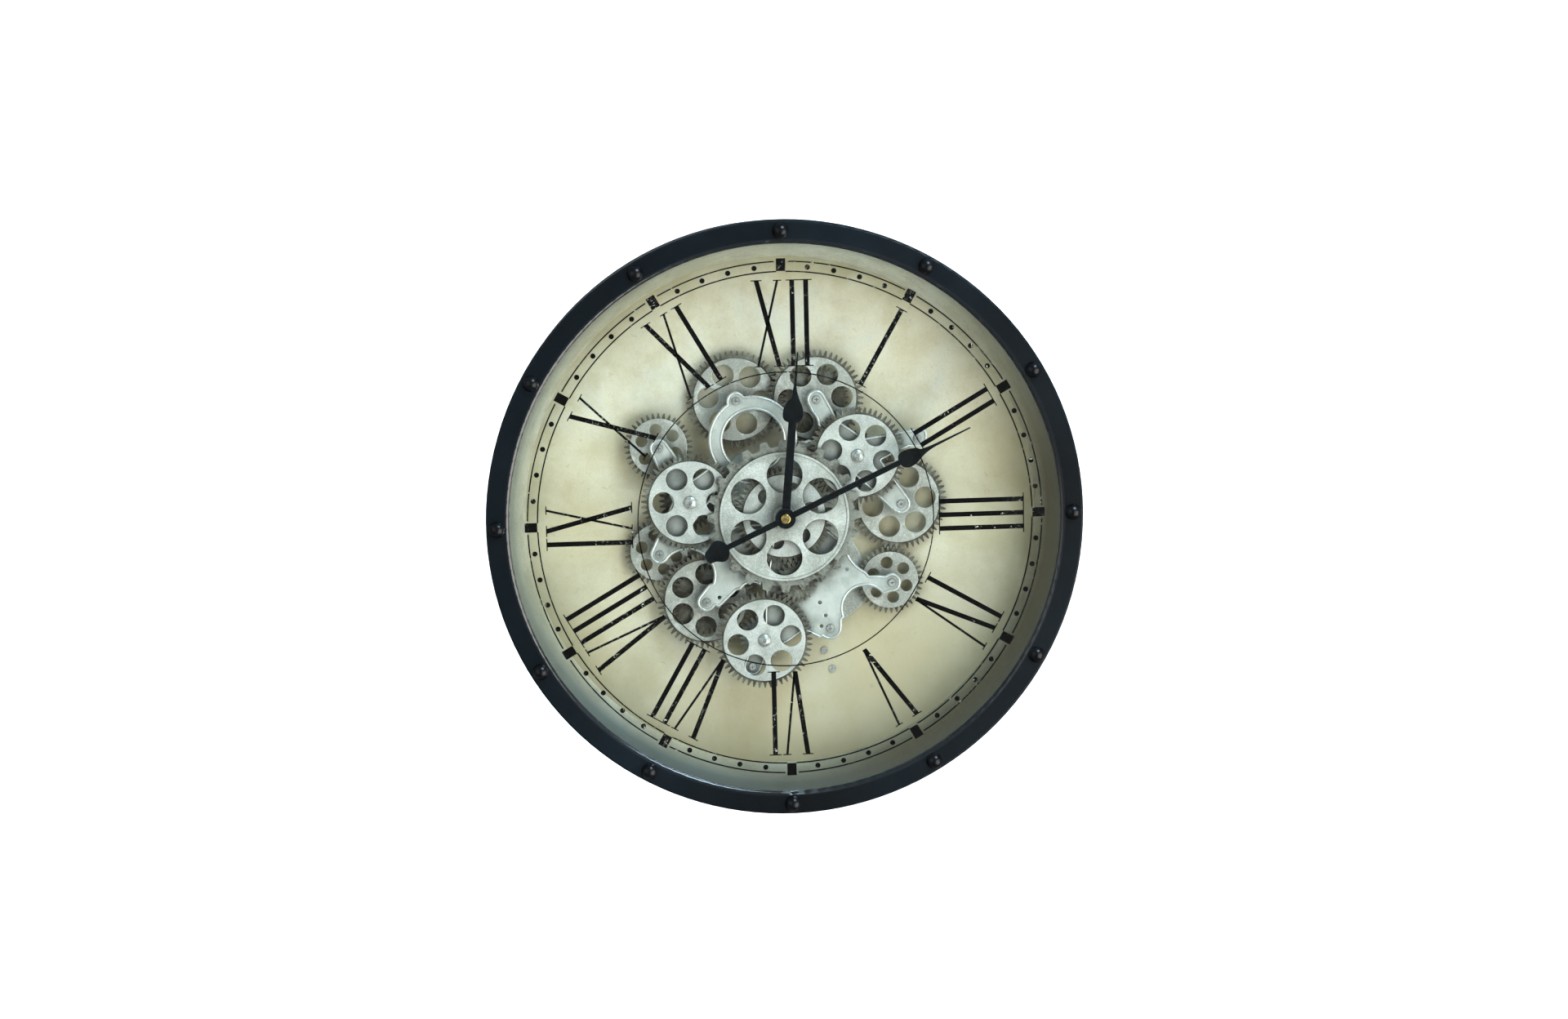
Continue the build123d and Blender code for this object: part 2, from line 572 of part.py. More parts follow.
with BuildPart() as train_posts:
    # studs under the bridges, on which the rear wheels turn
    for place in (UPPER_RIGHT, UPPER_LEFT, FAR_RIGHT, SMALL_RIGHT, LOWER_LEFT, SMALL_UPPER, SMALL_LEFT):
        disc(place, POST_FLANGE_RADIUS, DIAL_FACE, POST_FLANGE_FRONT)
        disc(place, RIVET_RADIUS, DIAL_BACK + 0.2, DIAL_FACE)
        disc(place, POST_RADIUS, POST_FLANGE_FRONT, BRIDGE_LEVEL)
        disc(place, TAPPED_BORE, BRIDGE_LEVEL - TAPPED_DEPTH, BRIDGE_LEVEL, Mode.SUBTRACT)
    # tall studs of the two side wheels
    for place in (LEFT, RIGHT):
        disc(place, POST_FLANGE_RADIUS, DIAL_FACE, POST_FLANGE_FRONT)
        disc(place, RIVET_RADIUS, DIAL_BACK + 0.2, DIAL_FACE)
        disc(place, POST_RADIUS, POST_FLANGE_FRONT, TALL_STUD_FRONT)
        disc(place, TAPPED_BORE, TOP_FACE_FRONT - TAPPED_DEPTH, TALL_STUD_FRONT, Mode.SUBTRACT)
    # pillars that only carry the bridges
    for place in pillars:
        disc(place, POST_FLANGE_RADIUS, DIAL_FACE, POST_FLANGE_FRONT)
        disc(place, RIVET_RADIUS, DIAL_BACK + 0.2, DIAL_FACE)
        disc(place, PILLAR_RADIUS, POST_FLANGE_FRONT, BRIDGE_LEVEL)
        disc(place, TAPPED_BORE, BRIDGE_LEVEL - TAPPED_DEPTH, BRIDGE_LEVEL, Mode.SUBTRACT)
    # short stud of the idler, riveted in the lower bridge
    disc(IDLER, RIVET_RADIUS, BRIDGE_LEVEL, BRIDGE_FRONT)
    disc(IDLER, PILLAR_RADIUS, BRIDGE_FRONT, TOP_LEVEL - 0.2)
    disc(IDLER, POST_RADIUS, TOP_LEVEL - 0.2, TOP_FACE_FRONT - 0.2)
    disc(IDLER, PILLAR_RADIUS, TOP_FACE_FRONT - 0.2, TOP_FACE_FRONT + 0.3)
save(train_posts.part, "train_posts")

LUG_RADIUS = 7.3
PIPE_CLEARANCE = HUB_RADIUS + 0.6
RING_CENTRE = (-22.6, 59.5)
RING_INNER = 23.6
RING_OUTER = 34.6


def plate(corners):
    """Adds a straight-sided plate to the active sketch."""
    with BuildLine() as edge:
        Polyline(corners, close=True)
    make_face(edge.line)


def bores(places, radius, mode=Mode.SUBTRACT):
    with Locations(*places):
        Circle(radius, mode=mode)


with BuildPart() as left_bridge:
    with BuildSketch(FRONT.offset(BRIDGE_LEVEL)) as outline:
        plate([
            (-98, -22), (-88, -13), (-48, -13), (-36, -6), (-16, -6), (-12, -30), (-19.3, -54.8),
            (-38, -58), (-52.1, -71.2), (-61.9, -66.6),
        ])
        # scallops beside the lower left wheel's lug
        bores([(-76.0, -45.2)], 20.5)
        bores([(-26.0, -62.3)], 9.8)
        bores([RING_CENTRE], RING_OUTER, Mode.ADD)
        arm(UPPER_LEFT, LUG_RADIUS, (-33.0, 80.0), 8.0)
        arm((-47.0, 38.0), 7.0, LEFT, 13.0)
        arm(SMALL_UPPER, LUG_RADIUS, LEFT, 12.5)
        arm(SMALL_LEFT, LUG_RADIUS, LEFT, 12.5)
        arm(LOWER_LEFT, LUG_RADIUS, (-56.0, -59.0), 7.0)
        bores([RING_CENTRE], RING_INNER)
        bores([LEFT], PIPE_CLEARANCE)
        bores([UPPER_LEFT, SMALL_UPPER, SMALL_LEFT, LOWER_LEFT, INNER_PILLARS[0]], CLEARANCE_BORE)
        bores([(-51.7, -63.2)], 1.5)
    extrude(outline.sketch, amount=BRIDGE_SHEET)
save(left_bridge.part, "left_bridge")

with BuildPart() as right_bridge:
    with BuildSketch(FRONT.offset(BRIDGE_LEVEL)) as outline:
        plate([
            (12.5, 50), (12.5, 60), (24, 58), (38, 68), (58, 45), (56, 18), (42, 12), (22, 8), (14, 18),
        ])
        arm(UPPER_RIGHT, LUG_RADIUS, (37.5, 68.5), 8.0)
        arm((38.0, 67.0), 8.5, RIGHT, 14.0)
        arm(FAR_RIGHT, LUG_RADIUS + 0.5, RIGHT, 13.0)
        arm((97.5, 57.0), 6.5, RIGHT, 12.0)
        with Locations(BRACKET):
            RectangleRounded(16.0, 14.0, 3.0)
        # notch beside the upper right wheel's lug, and room for the left bridge's ring
        bores([(15.5, 70.0)], 12.6)
        bores([RING_CENTRE], RING_OUTER + 0.3)
        bores([RIGHT], PIPE_CLEARANCE)
        bores([UPPER_RIGHT, FAR_RIGHT, BRACKET, INNER_PILLARS[1]], CLEARANCE_BORE)
    extrude(outline.sketch, amount=BRIDGE_SHEET)
save(right_bridge.part, "right_bridge")

with BuildPart() as lower_bridge:
    with BuildSketch(FRONT.offset(BRIDGE_LEVEL)) as outline:
        plate([
            (-15.0, -54.5), (-8.5, -14), (28, -8), (48, -24), (66, -50), (84, -50), (84, -63), (60, -70),
            (44, -84), (44, -90), (26, -98), (14, -92), (-8, -106), (-17, -98), (-16.6, -77.5),
        ])
        # scallops above and below the small right wheel's arm
        bores([(78.0, -20.0)], 30.4)
        bores([(62.5, -75.3)], 17.6)
        bores([SMALL_RIGHT], LUG_RADIUS, Mode.ADD)
        bores([LOWER_PILLAR], 9.2, Mode.ADD)
        arm(LOWER, 8.0, HIDDEN_PILLAR, LUG_RADIUS)
        bores([HIDDEN_PILLAR, LOWER_PILLAR, SMALL_RIGHT, INNER_PILLARS[2]], CLEARANCE_BORE)
        bores([LOWER], LOWER_ARBOR_RADIUS + 0.06)
        bores([(48.4, -44.3), (26.8, -69.9), (31.2, -80.2), (27.6, -88.6), IDLER], 1.5)
    extrude(outline.sketch, amount=BRIDGE_SHEET)
save(lower_bridge.part, "lower_bridge")

lugs = [UPPER_RIGHT, UPPER_LEFT, FAR_RIGHT, SMALL_RIGHT, LOWER_LEFT, SMALL_UPPER, SMALL_LEFT]

with BuildPart() as train_screws:
    for place in lugs + pillars:
        head_front = BRIDGE_FRONT + LUG_HEAD_HEIGHT
        boss_front = head_front + LUG_BOSS_HEIGHT
        reach, width = LUG_CROSS
        disc(place, SCREW_SHANK, BRIDGE_LEVEL - 6, BRIDGE_FRONT)
        disc(place, LUG_HEAD_RADIUS, BRIDGE_FRONT, head_front)
        disc(place, LUG_BOSS_RADIUS, head_front, boss_front)
        block(place, reach, width, head_front, boss_front, mode=Mode.SUBTRACT)
        block(place, width, reach, head_front, boss_front, mode=Mode.SUBTRACT)
    # domed screws that keep the two side wheels on their studs
    for place in (LEFT, RIGHT):
        disc(place, SCREW_SHANK, TOP_FACE_FRONT - 6, TALL_STUD_FRONT)
        wheel_screw_head(place, TALL_STUD_FRONT)
    # retaining ring in front of the centre wheel
    turned([
        (TUBE_RADIUS, CENTRE_FACE_FRONT + 2.4),
        (8.6, CENTRE_FACE_FRONT + 2.4),
        (8.6, CENTRE_FACE_FRONT + 3.2),
        (TUBE_RADIUS, CENTRE_FACE_FRONT + 3.2),
    ])
save(train_screws.part, "train_screws")

with BuildPart() as centre_tube:
    # fixed tube on the movement's bush: the centre wheel turns on it and the hour pipe inside it
    turned([
        (BUSH_RADIUS + 0.02, DIAL_FACE + 1.0),
        (12.0, DIAL_FACE + 1.0),
        (12.0, DIAL_FACE + 3.0),
        (TUBE_RADIUS, DIAL_FACE + 3.0),
        (TUBE_RADIUS, TOP_LEVEL - 2.4),
        (8.4, TOP_LEVEL - 2.4),
        (8.4, TOP_LEVEL - 1.6),
        (TUBE_RADIUS, TOP_LEVEL - 1.6),
        (TUBE_RADIUS, TUBE_FRONT),
        (BUSH_BORE, TUBE_FRONT),
        (BUSH_BORE, DIAL_FACE + 7.0),
        (BUSH_RADIUS + 0.02, DIAL_FACE + 7.0),
    ])
save(centre_tube.part, "centre_tube")

# ---------------------------------------------------------------- centre wheel
CENTRE_OPENINGS = (6, 13.9, 32.3, 28.7)
HUB_CENTRE_BORE = TUBE_RADIUS + 0.06
HUB_CENTRE_RADIUS = 9.0
WHEEL_CENTRE_BORE = HUB_CENTRE_RADIUS + 0.02

with BuildPart() as centre_disc:
    pierced_face(CENTRE, CENTRE_FACE_RADIUS, HUB_CENTRE_BORE, CENTRE_FACE_LEVEL, CENTRE_FACE_FRONT,
                 CENTRE_OPENINGS)
    sleeve(CENTRE, HUB_CENTRE_RADIUS, HUB_CENTRE_BORE, TOP_LEVEL - 1.4, CENTRE_FACE_FRONT + 2.2)
    sleeve(CENTRE, CENTRE_FACE_RADIUS, CENTRE_FACE_RADIUS - 1.7, CENTRE_FACE_FRONT, CENTRE_FACE_FRONT + 0.5)
save(centre_disc.part, "centre_disc")

with BuildPart() as coarse_wheel:
    with BuildSketch(FRONT.offset(COARSE_LEVEL)) as outline:
        corners = []
        for tooth in range(COARSE_TEETH):
            for reach, side in (
                (COARSE_ROOT_RADIUS, -COARSE_ROOT_HALF), (COARSE_TIP_RADIUS, -COARSE_TIP_HALF),
                (COARSE_TIP_RADIUS, COARSE_TIP_HALF), (COARSE_ROOT_RADIUS, COARSE_ROOT_HALF),
            ):
                turn = COARSE_PHASE + 360 * tooth / COARSE_TEETH + degrees(side / reach)
                corners.append(step_from(CENTRE, turn, reach))
        with BuildLine():
            Polyline(corners, close=True)
        make_face()
        fillet(outline.vertices(), 0.9)
        Circle(WHEEL_CENTRE_BORE, mode=Mode.SUBTRACT)
        count, hole_radius, pitch_radius, turn = CENTRE_OPENINGS
        with PolarLocations(pitch_radius, count, start_angle=turn):
            Circle(hole_radius + 0.5, mode=Mode.SUBTRACT)
    extrude(outline.sketch, amount=CENTRE_FACE_LEVEL - COARSE_LEVEL)
save(coarse_wheel.part, "coarse_wheel")

with BuildPart() as centre_fine_wheel:
    toothed_plate(CENTRE, WHEEL_TEETH, 0, TOP_LEVEL, WHEEL_CENTRE_BORE,
                  (6, FINE_HOLE + 0.5, FACE_PITCH, 12.0), thickness=TOP_FACE_LEVEL - TOP_LEVEL)
save(centre_fine_wheel.part, "centre_fine_wheel")

with BuildPart() as centre_fine_disc:
    pierced_face(CENTRE, FACE_RADIUS, WHEEL_CENTRE_BORE, TOP_FACE_LEVEL, TOP_FACE_FRONT,
                 (6, FINE_HOLE, FACE_PITCH, 12.0))
save(centre_fine_disc.part, "centre_fine_disc")

# ---------------------------------------------------------------- wheels at the top level


def top_wheel(label, place, phase, turn, bore):
    """A toothed wheel of the front layer and the pierced face plate in front of it."""
    with BuildPart() as wheel:
        toothed_plate(place, WHEEL_TEETH, phase, TOP_LEVEL, bore, (6, FACE_HOLE + 0.5, FACE_PITCH, turn),
                      thickness=TOP_FACE_LEVEL - TOP_LEVEL)
    save(wheel.part, f"{label}_wheel")
    with BuildPart() as face:
        pierced_face(place, FACE_RADIUS, bore, TOP_FACE_LEVEL, TOP_FACE_FRONT,
                     (6, FACE_HOLE, FACE_PITCH, turn))
    save(face.part, f"{label}_disc")


top_wheel("left", LEFT, LEFT_PHASE, -1.3, WHEEL_BORE)
top_wheel("right", RIGHT, RIGHT_PHASE, 46.7, WHEEL_BORE)
top_wheel("lower", LOWER, LOWER_PHASE, 7.7, LOWER_ARBOR_RADIUS + 0.02)

with BuildPart() as left_arbor:
    sleeve(LEFT, HUB_RADIUS, HUB_BORE, HUB_BACK, TOP_FACE_FRONT)
    sleeve(LEFT, 6.0, HUB_RADIUS, TOP_LEVEL - 1.7, TOP_LEVEL)
    toothed_plate(LEFT, LEFT_PINION_TEETH, 0, MIDDLE_LEVEL, HUB_RADIUS)
save(left_arbor.part, "left_arbor")

with BuildPart() as right_arbor:
    sleeve(RIGHT, HUB_RADIUS, HUB_BORE, HUB_BACK, TOP_FACE_FRONT)
    sleeve(RIGHT, 6.0, HUB_RADIUS, TOP_LEVEL - 1.7, TOP_LEVEL)
    toothed_plate(RIGHT, RIGHT_PINION_TEETH, 0, MIDDLE_LEVEL, HUB_RADIUS)
    toothed_plate(RIGHT, RIGHT_REAR_PINION_TEETH, 0, REAR_LEVEL, HUB_RADIUS)
save(right_arbor.part, "right_arbor")

with BuildPart() as lower_arbor:
    # the gear motor's own shaft, which drives the whole train
    disc(LOWER, LOWER_ARBOR_RADIUS, SHAFT_BACK, TOP_FACE_FRONT)
    sleeve(LOWER, 5.0, LOWER_ARBOR_RADIUS, TOP_LEVEL - 1.7, TOP_LEVEL)
    toothed_plate(LOWER, LOWER_PINION_TEETH, 0, MIDDLE_LEVEL, LOWER_ARBOR_RADIUS)
    wheel_screw_head(LOWER, TOP_FACE_FRONT)
save(lower_arbor.part, "lower_arbor")

with BuildPart() as idler_gear:
    toothed_plate(IDLER, IDLER_TEETH, IDLER_PHASE, TOP_LEVEL, HUB_BORE, thickness=TOP_FACE_LEVEL - TOP_LEVEL)
    sleeve(IDLER, 5.0, HUB_BORE, TOP_FACE_LEVEL, TOP_FACE_FRONT - 0.4)
save(idler_gear.part, "idler_gear")


# ---------------------------------------------------------------- wheels behind the bridges
def rear_wheel(label, place, teeth, phase, turn, level, rear_teeth=0):
    """A toothed wheel behind the bridges, its pierced face plate with the hub, and maybe a rear wheel."""
    large = teeth == WHEEL_TEETH
    hole, pitch = (FACE_HOLE, FACE_PITCH) if large else (SMALL_HOLE, SMALL_PITCH)
    face_radius = FACE_RADIUS if large else SMALL_FACE_RADIUS
    face_back = level + TOOTHED_SHEET
    with BuildPart() as wheel:
        toothed_plate(place, teeth, phase, level, WHEEL_BORE, (6, hole + 0.4, pitch, turn))
    save(wheel.part, f"{label}_wheel")
    with BuildPart() as face:
        pierced_face(place, face_radius, HUB_BORE, face_back, face_back + FACE_SHEET, (6, hole, pitch, turn))
        sleeve(place, HUB_RADIUS, HUB_BORE, HUB_BACK, BRIDGE_LEVEL - 0.2)
        if rear_teeth:
            sleeve(place, 5.5, HUB_RADIUS, REAR_LEVEL + TOOTHED_SHEET, REAR_LEVEL + TOOTHED_SHEET + 0.8)
    save(face.part, f"{label}_disc")
    if rear_teeth:
        with BuildPart() as rear:
            rear_openings = (6, SMALL_HOLE, SMALL_PITCH, turn + 30)
            toothed_plate(place, rear_teeth, 0, REAR_LEVEL, WHEEL_BORE, rear_openings)
        save(rear.part, f"{label}_rear_wheel")


rear_wheel("upper_right", UPPER_RIGHT, WHEEL_TEETH, UPPER_RIGHT_PHASE, 1.7, MIDDLE_LEVEL, UPPER_REAR_TEETH)
rear_wheel("upper_left", UPPER_LEFT, WHEEL_TEETH, UPPER_LEFT_PHASE, 54.7, REAR_LEVEL)
rear_wheel("far_right", FAR_RIGHT, WHEEL_TEETH, FAR_RIGHT_PHASE, 7.7, REAR_LEVEL)
rear_wheel("small_right", SMALL_RIGHT, SMALL_TEETH, SMALL_RIGHT_PHASE, 39.7, REAR_LEVEL)
rear_wheel("lower_left", LOWER_LEFT, WHEEL_TEETH, LOWER_LEFT_PHASE, 28.7, MIDDLE_LEVEL, LOWER_LEFT_REAR_TEETH)
rear_wheel("small_upper", SMALL_UPPER, SMALL_TEETH, SMALL_UPPER_PHASE, 38.7, MIDDLE_LEVEL)
rear_wheel("small_left", SMALL_LEFT, SMALL_TEETH, SMALL_LEFT_PHASE, 43.7, REAR_LEVEL)


# ---------------------------------------------------------------- hands
def hand_plane(angle, back):
    """The front plane at a distance from the wall, turned clockwise by angle."""
    across = (cos(radians(angle)), 0, -sin(radians(angle)))
    return Plane(origin=(0, -back, -DIAL_DROP), x_dir=across, z_dir=(0, -1, 0))


def hand_face(length, stem_half, spade, angle, back, bore):
    """A spade hand: round hub, straight stem, a spade and a long needle."""
    left = [(-half, reach) for half, reach in spade]
    right = [(half, reach) for half, reach in reversed(spade)]
    with BuildSketch(hand_plane(angle, back)) as outline:
        Circle(HAND_HUB_RADIUS)
        with BuildLine():
            Polyline([right[-1], (stem_half, 0), (-stem_half, 0), left[0]])
            Spline(left, tangents=[(-1, 0.15), (0.05, 1)])
            Polyline([left[-1], (-HAND_TIP_HALF, length), (HAND_TIP_HALF, length), right[0]])
            Spline(right, tangents=[(0.05, -1), (-1, -0.15)])
        make_face()
        Circle(bore, mode=Mode.SUBTRACT)
    return outline.sketch


def tail_face(stem_half, spade, angle, back, bore):
    """The short end of the minute hand: a stem and a blunt spade that balances the long end."""
    left = [(-half, reach) for half, reach in spade]
    right = [(half, reach) for half, reach in reversed(spade)]
    with BuildSketch(hand_plane(angle + 180, back)) as outline:
        with BuildLine():
            Polyline([right[-1], (stem_half, 0), (-stem_half, 0), left[0]])
            Spline(left, tangents=[(-1, 0.3), (1, 0)])
            Spline(right, tangents=[(1, 0), (-1, -0.3)])
        make_face()
        Circle(bore, mode=Mode.SUBTRACT)
    return outline.sketch


with BuildPart() as hour_hand:
    outline = hand_face(HOUR_HAND_LENGTH, HOUR_STEM_HALF, HOUR_SPADE, HOUR_ANGLE, HOUR_HAND_BACK,
                        HOUR_PIPE_RADIUS + 0.02)
    extrude(outline, amount=HAND_SHEET)
save(hour_hand.part, "hour_hand")

with BuildPart() as minute_hand:
    hand_bore = MINUTE_ARBOR_RADIUS + 0.02
    outline = hand_face(MINUTE_HAND_LENGTH, MINUTE_STEM_HALF, MINUTE_SPADE, MINUTE_ANGLE, MINUTE_HAND_BACK,
                        hand_bore)
    extrude(outline, amount=HAND_SHEET)
    outline = tail_face(MINUTE_STEM_HALF, TAIL_SPADE, MINUTE_ANGLE, MINUTE_HAND_BACK, hand_bore)
    extrude(outline, amount=HAND_SHEET)
save(minute_hand.part, "minute_hand")

with BuildPart() as hand_nut:
    nut_back = MINUTE_HAND_BACK + HAND_SHEET
    sleeve(CENTRE, NUT_RADIUS, MINUTE_ARBOR_RADIUS + 0.02, nut_back, nut_back + NUT_HEIGHT)
    nut_edges = hand_nut.edges().filter_by(GeomType.CIRCLE).group_by(Axis.Y)[0].sort_by(SortBy.RADIUS)
    fillet(nut_edges[-1], 0.8)
save(hand_nut.part, "hand_nut")

# ---------------------------------------------------------------- quartz movement and its motion work
MOVEMENT_FRONT = DIAL_BACK
COVER_FRONT = MOVEMENT_BACK + 2.0
MOVEMENT_CELL = (0.0, -19.6)
CELL_BAY = (52.0, 14.8)
SLOW_LEVEL = 12.6
FAST_LEVEL = 9.0
CANNON_TEETH = 12
MINUTE_WHEEL_TEETH = 36
MINUTE_PINION_TEETH = 10
HOUR_WHEEL_TEETH = 40
FAST_MODULE = 2 * MOTION_CENTRES / (CANNON_TEETH + MINUTE_WHEEL_TEETH)
SLOW_MODULE = 2 * MOTION_CENTRES / (MINUTE_PINION_TEETH + HOUR_WHEEL_TEETH)
MOTION_HEADING = 90.0
MOTION_POST = step_from(CENTRE, MOTION_HEADING, MOTION_CENTRES)
MOTION_BORE = 1.05
PINION_THICKNESS = 1.8
KNOB_RADIUS = 7.0
KNOB_BACK = 1.2
KNOB_GRIPS = 18


def fine_shape(module):
    return {
        "module": module,
        "addendum": 0.8 * module,
        "dedendum": 1.15 * module,
        "tip_half": 0.35 * module,
        "root_half": 0.85 * module,
    }


with BuildPart() as movement_case:
    block(CENTRE, MOVEMENT_SIDE, MOVEMENT_SIDE, COVER_FRONT, MOVEMENT_FRONT, corner=2.5)
    block((0, 8.0), MOVEMENT_SIDE - 4, 38.0, COVER_FRONT, MOVEMENT_FRONT - 1.5, 1.5, Mode.SUBTRACT)
    block(MOVEMENT_CELL, *CELL_BAY, COVER_FRONT, MOVEMENT_FRONT - 0.8, mode=Mode.SUBTRACT)
    disc(CENTRE, BUSH_RADIUS, MOVEMENT_FRONT - 1.5, DIAL_FACE + 6.6)
    disc(CENTRE, BUSH_BORE, MOVEMENT_FRONT - 2, DIAL_FACE + 8, Mode.SUBTRACT)
    disc(MOTION_POST, 1.0, COVER_FRONT + 0.2, MOVEMENT_FRONT - 1.5)
save(movement_case.part, "movement_case")

with BuildPart() as movement_cover:
    block(CENTRE, MOVEMENT_SIDE, MOVEMENT_SIDE, MOVEMENT_BACK, COVER_FRONT, corner=2.5)
    block(MOVEMENT_CELL, *CELL_BAY, MOVEMENT_BACK, COVER_FRONT, mode=Mode.SUBTRACT)
    disc(CENTRE, MINUTE_ARBOR_RADIUS + 0.06, MOVEMENT_BACK, COVER_FRONT, Mode.SUBTRACT)
save(movement_cover.part, "movement_cover")

with BuildPart() as minute_arbor:
    disc(CENTRE, MINUTE_ARBOR_RADIUS, 3.4, MINUTE_HAND_BACK + HAND_SHEET + 2.4)
    toothed_plate(CENTRE, CANNON_TEETH, 0, FAST_LEVEL, MINUTE_ARBOR_RADIUS - 0.2, **fine_shape(FAST_MODULE))
save(minute_arbor.part, "minute_arbor")

with BuildPart() as setting_knob:
    sleeve(CENTRE, KNOB_RADIUS, MINUTE_ARBOR_RADIUS, KNOB_BACK + 0.4, MOVEMENT_BACK - 0.3)
    disc(CENTRE, KNOB_RADIUS, KNOB_BACK, KNOB_BACK + 0.4)
    with BuildSketch(FRONT.offset(KNOB_BACK)) as grips:
        with PolarLocations(KNOB_RADIUS + 0.3, KNOB_GRIPS):
            Circle(0.6)
    extrude(grips.sketch, amount=MOVEMENT_BACK - 1.5, mode=Mode.SUBTRACT)
    disc(CENTRE, MINUTE_ARBOR_RADIUS, 3.4, MOVEMENT_BACK, Mode.SUBTRACT)
save(setting_knob.part, "setting_knob")

with BuildPart() as motion_wheel:
    motion_phase = mesh_phase(0, CANNON_TEETH, MOTION_HEADING, MINUTE_WHEEL_TEETH)
    toothed_plate(MOTION_POST, MINUTE_WHEEL_TEETH, motion_phase, FAST_LEVEL, MOTION_BORE,
                  **fine_shape(FAST_MODULE))
    toothed_plate(MOTION_POST, MINUTE_PINION_TEETH, 0, SLOW_LEVEL, MOTION_BORE, thickness=PINION_THICKNESS,
                  **fine_shape(SLOW_MODULE))
    sleeve(MOTION_POST, 1.7, MOTION_BORE, FAST_LEVEL + TOOTHED_SHEET, SLOW_LEVEL)
save(motion_wheel.part, "motion_wheel")

with BuildPart() as hour_pipe:
    sleeve(CENTRE, HOUR_PIPE_RADIUS, HOUR_PIPE_BORE, SLOW_LEVEL, HOUR_HAND_BACK + HAND_SHEET)
    hour_phase = mesh_phase(0, MINUTE_PINION_TEETH, MOTION_HEADING + 180, HOUR_WHEEL_TEETH)
    toothed_plate(CENTRE, HOUR_WHEEL_TEETH, hour_phase, SLOW_LEVEL, HOUR_PIPE_RADIUS,
                  thickness=PINION_THICKNESS, **fine_shape(SLOW_MODULE))
save(hour_pipe.part, "hour_pipe")

# ---------------------------------------------------------------- gear motor and batteries
with BuildPart() as gear_motor:
    disc(LOWER, MOTOR_RADIUS, MOTOR_BACK, DIAL_BACK)
    motor_edges = gear_motor.edges().filter_by(GeomType.CIRCLE).group_by(Axis.Y)[-1]
    fillet(motor_edges, 1.5)
    block(LOWER, MOTOR_EAR_SPAN, MOTOR_EAR_WIDTH, DIAL_BACK - MOTOR_EAR_SHEET, DIAL_BACK, MOTOR_EAR_ROUND)
    discs(motor_ears, CLEARANCE_BORE, DIAL_BACK - MOTOR_EAR_SHEET, DIAL_BACK, Mode.SUBTRACT)
    disc(LOWER, LOWER_ARBOR_RADIUS + 0.05, SHAFT_BACK - 1, DIAL_BACK, Mode.SUBTRACT)
save(gear_motor.part, "gear_motor")

BOX_PLACE = (61.0, -116.5)
CELL_RADIUS = 7.2
CELL_LENGTH = 50.0
CELL_CAP = 1.2
CELL_PLACES = [(66.0, -108.7), (66.0, -124.3)]
CAP_RADIUS = 2.7
BOX_SIZE = (68.0, 33.0)
BOX_BAY = (52.0, 15.0)
BOX_WALL = 1.4
WIRE_BAY = (10.0, 29.0)
WIRE_BAY_PLACE = (33.6, -116.5)

with BuildPart() as battery_box:
    block(BOX_PLACE, *BOX_SIZE, MOVEMENT_BACK, DIAL_BACK, corner=2.0)
    for place in CELL_PLACES:
        block(place, *BOX_BAY, MOVEMENT_BACK, DIAL_BACK - BOX_WALL, mode=Mode.SUBTRACT)
    block(WIRE_BAY_PLACE, *WIRE_BAY, MOVEMENT_BACK, DIAL_BACK - BOX_WALL, mode=Mode.SUBTRACT)
    discs(battery_box_screws, SCREW_SHANK + 0.05, DIAL_BACK - BOX_WALL, DIAL_BACK, Mode.SUBTRACT)
save(battery_box.part, "battery_box")


def cell(place, front):
    """An AA cell lying along X, with its positive cap."""
    lying = Plane(FRONT.from_local_coords(Vector(place[0] - CELL_LENGTH / 2, place[1], front)),
                  x_dir=(0, 1, 0), z_dir=(1, 0, 0))
    with BuildSketch(lying) as can:
        Circle(CELL_RADIUS)
    extrude(can.sketch, amount=CELL_LENGTH - CELL_CAP)
    with BuildSketch(lying.offset(CELL_LENGTH - CELL_CAP)) as cap:
        Circle(CAP_RADIUS)
    extrude(cap.sketch, amount=CELL_CAP)


with BuildPart() as batteries:
    cell(MOVEMENT_CELL, 12.8)
    for place in CELL_PLACES:
        cell(place, 12.3)
save(batteries.part, "batteries")
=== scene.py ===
"""Looks for the skeleton wall clock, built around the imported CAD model. Lengths are in metres."""

from math import cos, pi, radians, sin

import bmesh
import bpy
from mathutils import Matrix, Vector


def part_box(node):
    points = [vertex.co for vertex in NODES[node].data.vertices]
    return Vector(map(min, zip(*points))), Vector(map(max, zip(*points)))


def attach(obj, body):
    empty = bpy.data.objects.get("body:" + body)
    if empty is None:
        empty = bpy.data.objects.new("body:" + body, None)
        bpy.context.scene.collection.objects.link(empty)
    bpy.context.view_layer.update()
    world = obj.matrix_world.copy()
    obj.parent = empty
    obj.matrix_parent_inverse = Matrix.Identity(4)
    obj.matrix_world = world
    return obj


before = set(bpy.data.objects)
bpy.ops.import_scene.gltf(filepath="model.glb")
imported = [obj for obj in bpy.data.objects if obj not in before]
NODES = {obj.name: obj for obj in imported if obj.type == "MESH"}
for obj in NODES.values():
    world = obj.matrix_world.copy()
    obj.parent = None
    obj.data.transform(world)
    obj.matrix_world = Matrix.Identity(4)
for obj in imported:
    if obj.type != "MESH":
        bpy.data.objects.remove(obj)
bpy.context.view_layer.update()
MM = 0.001

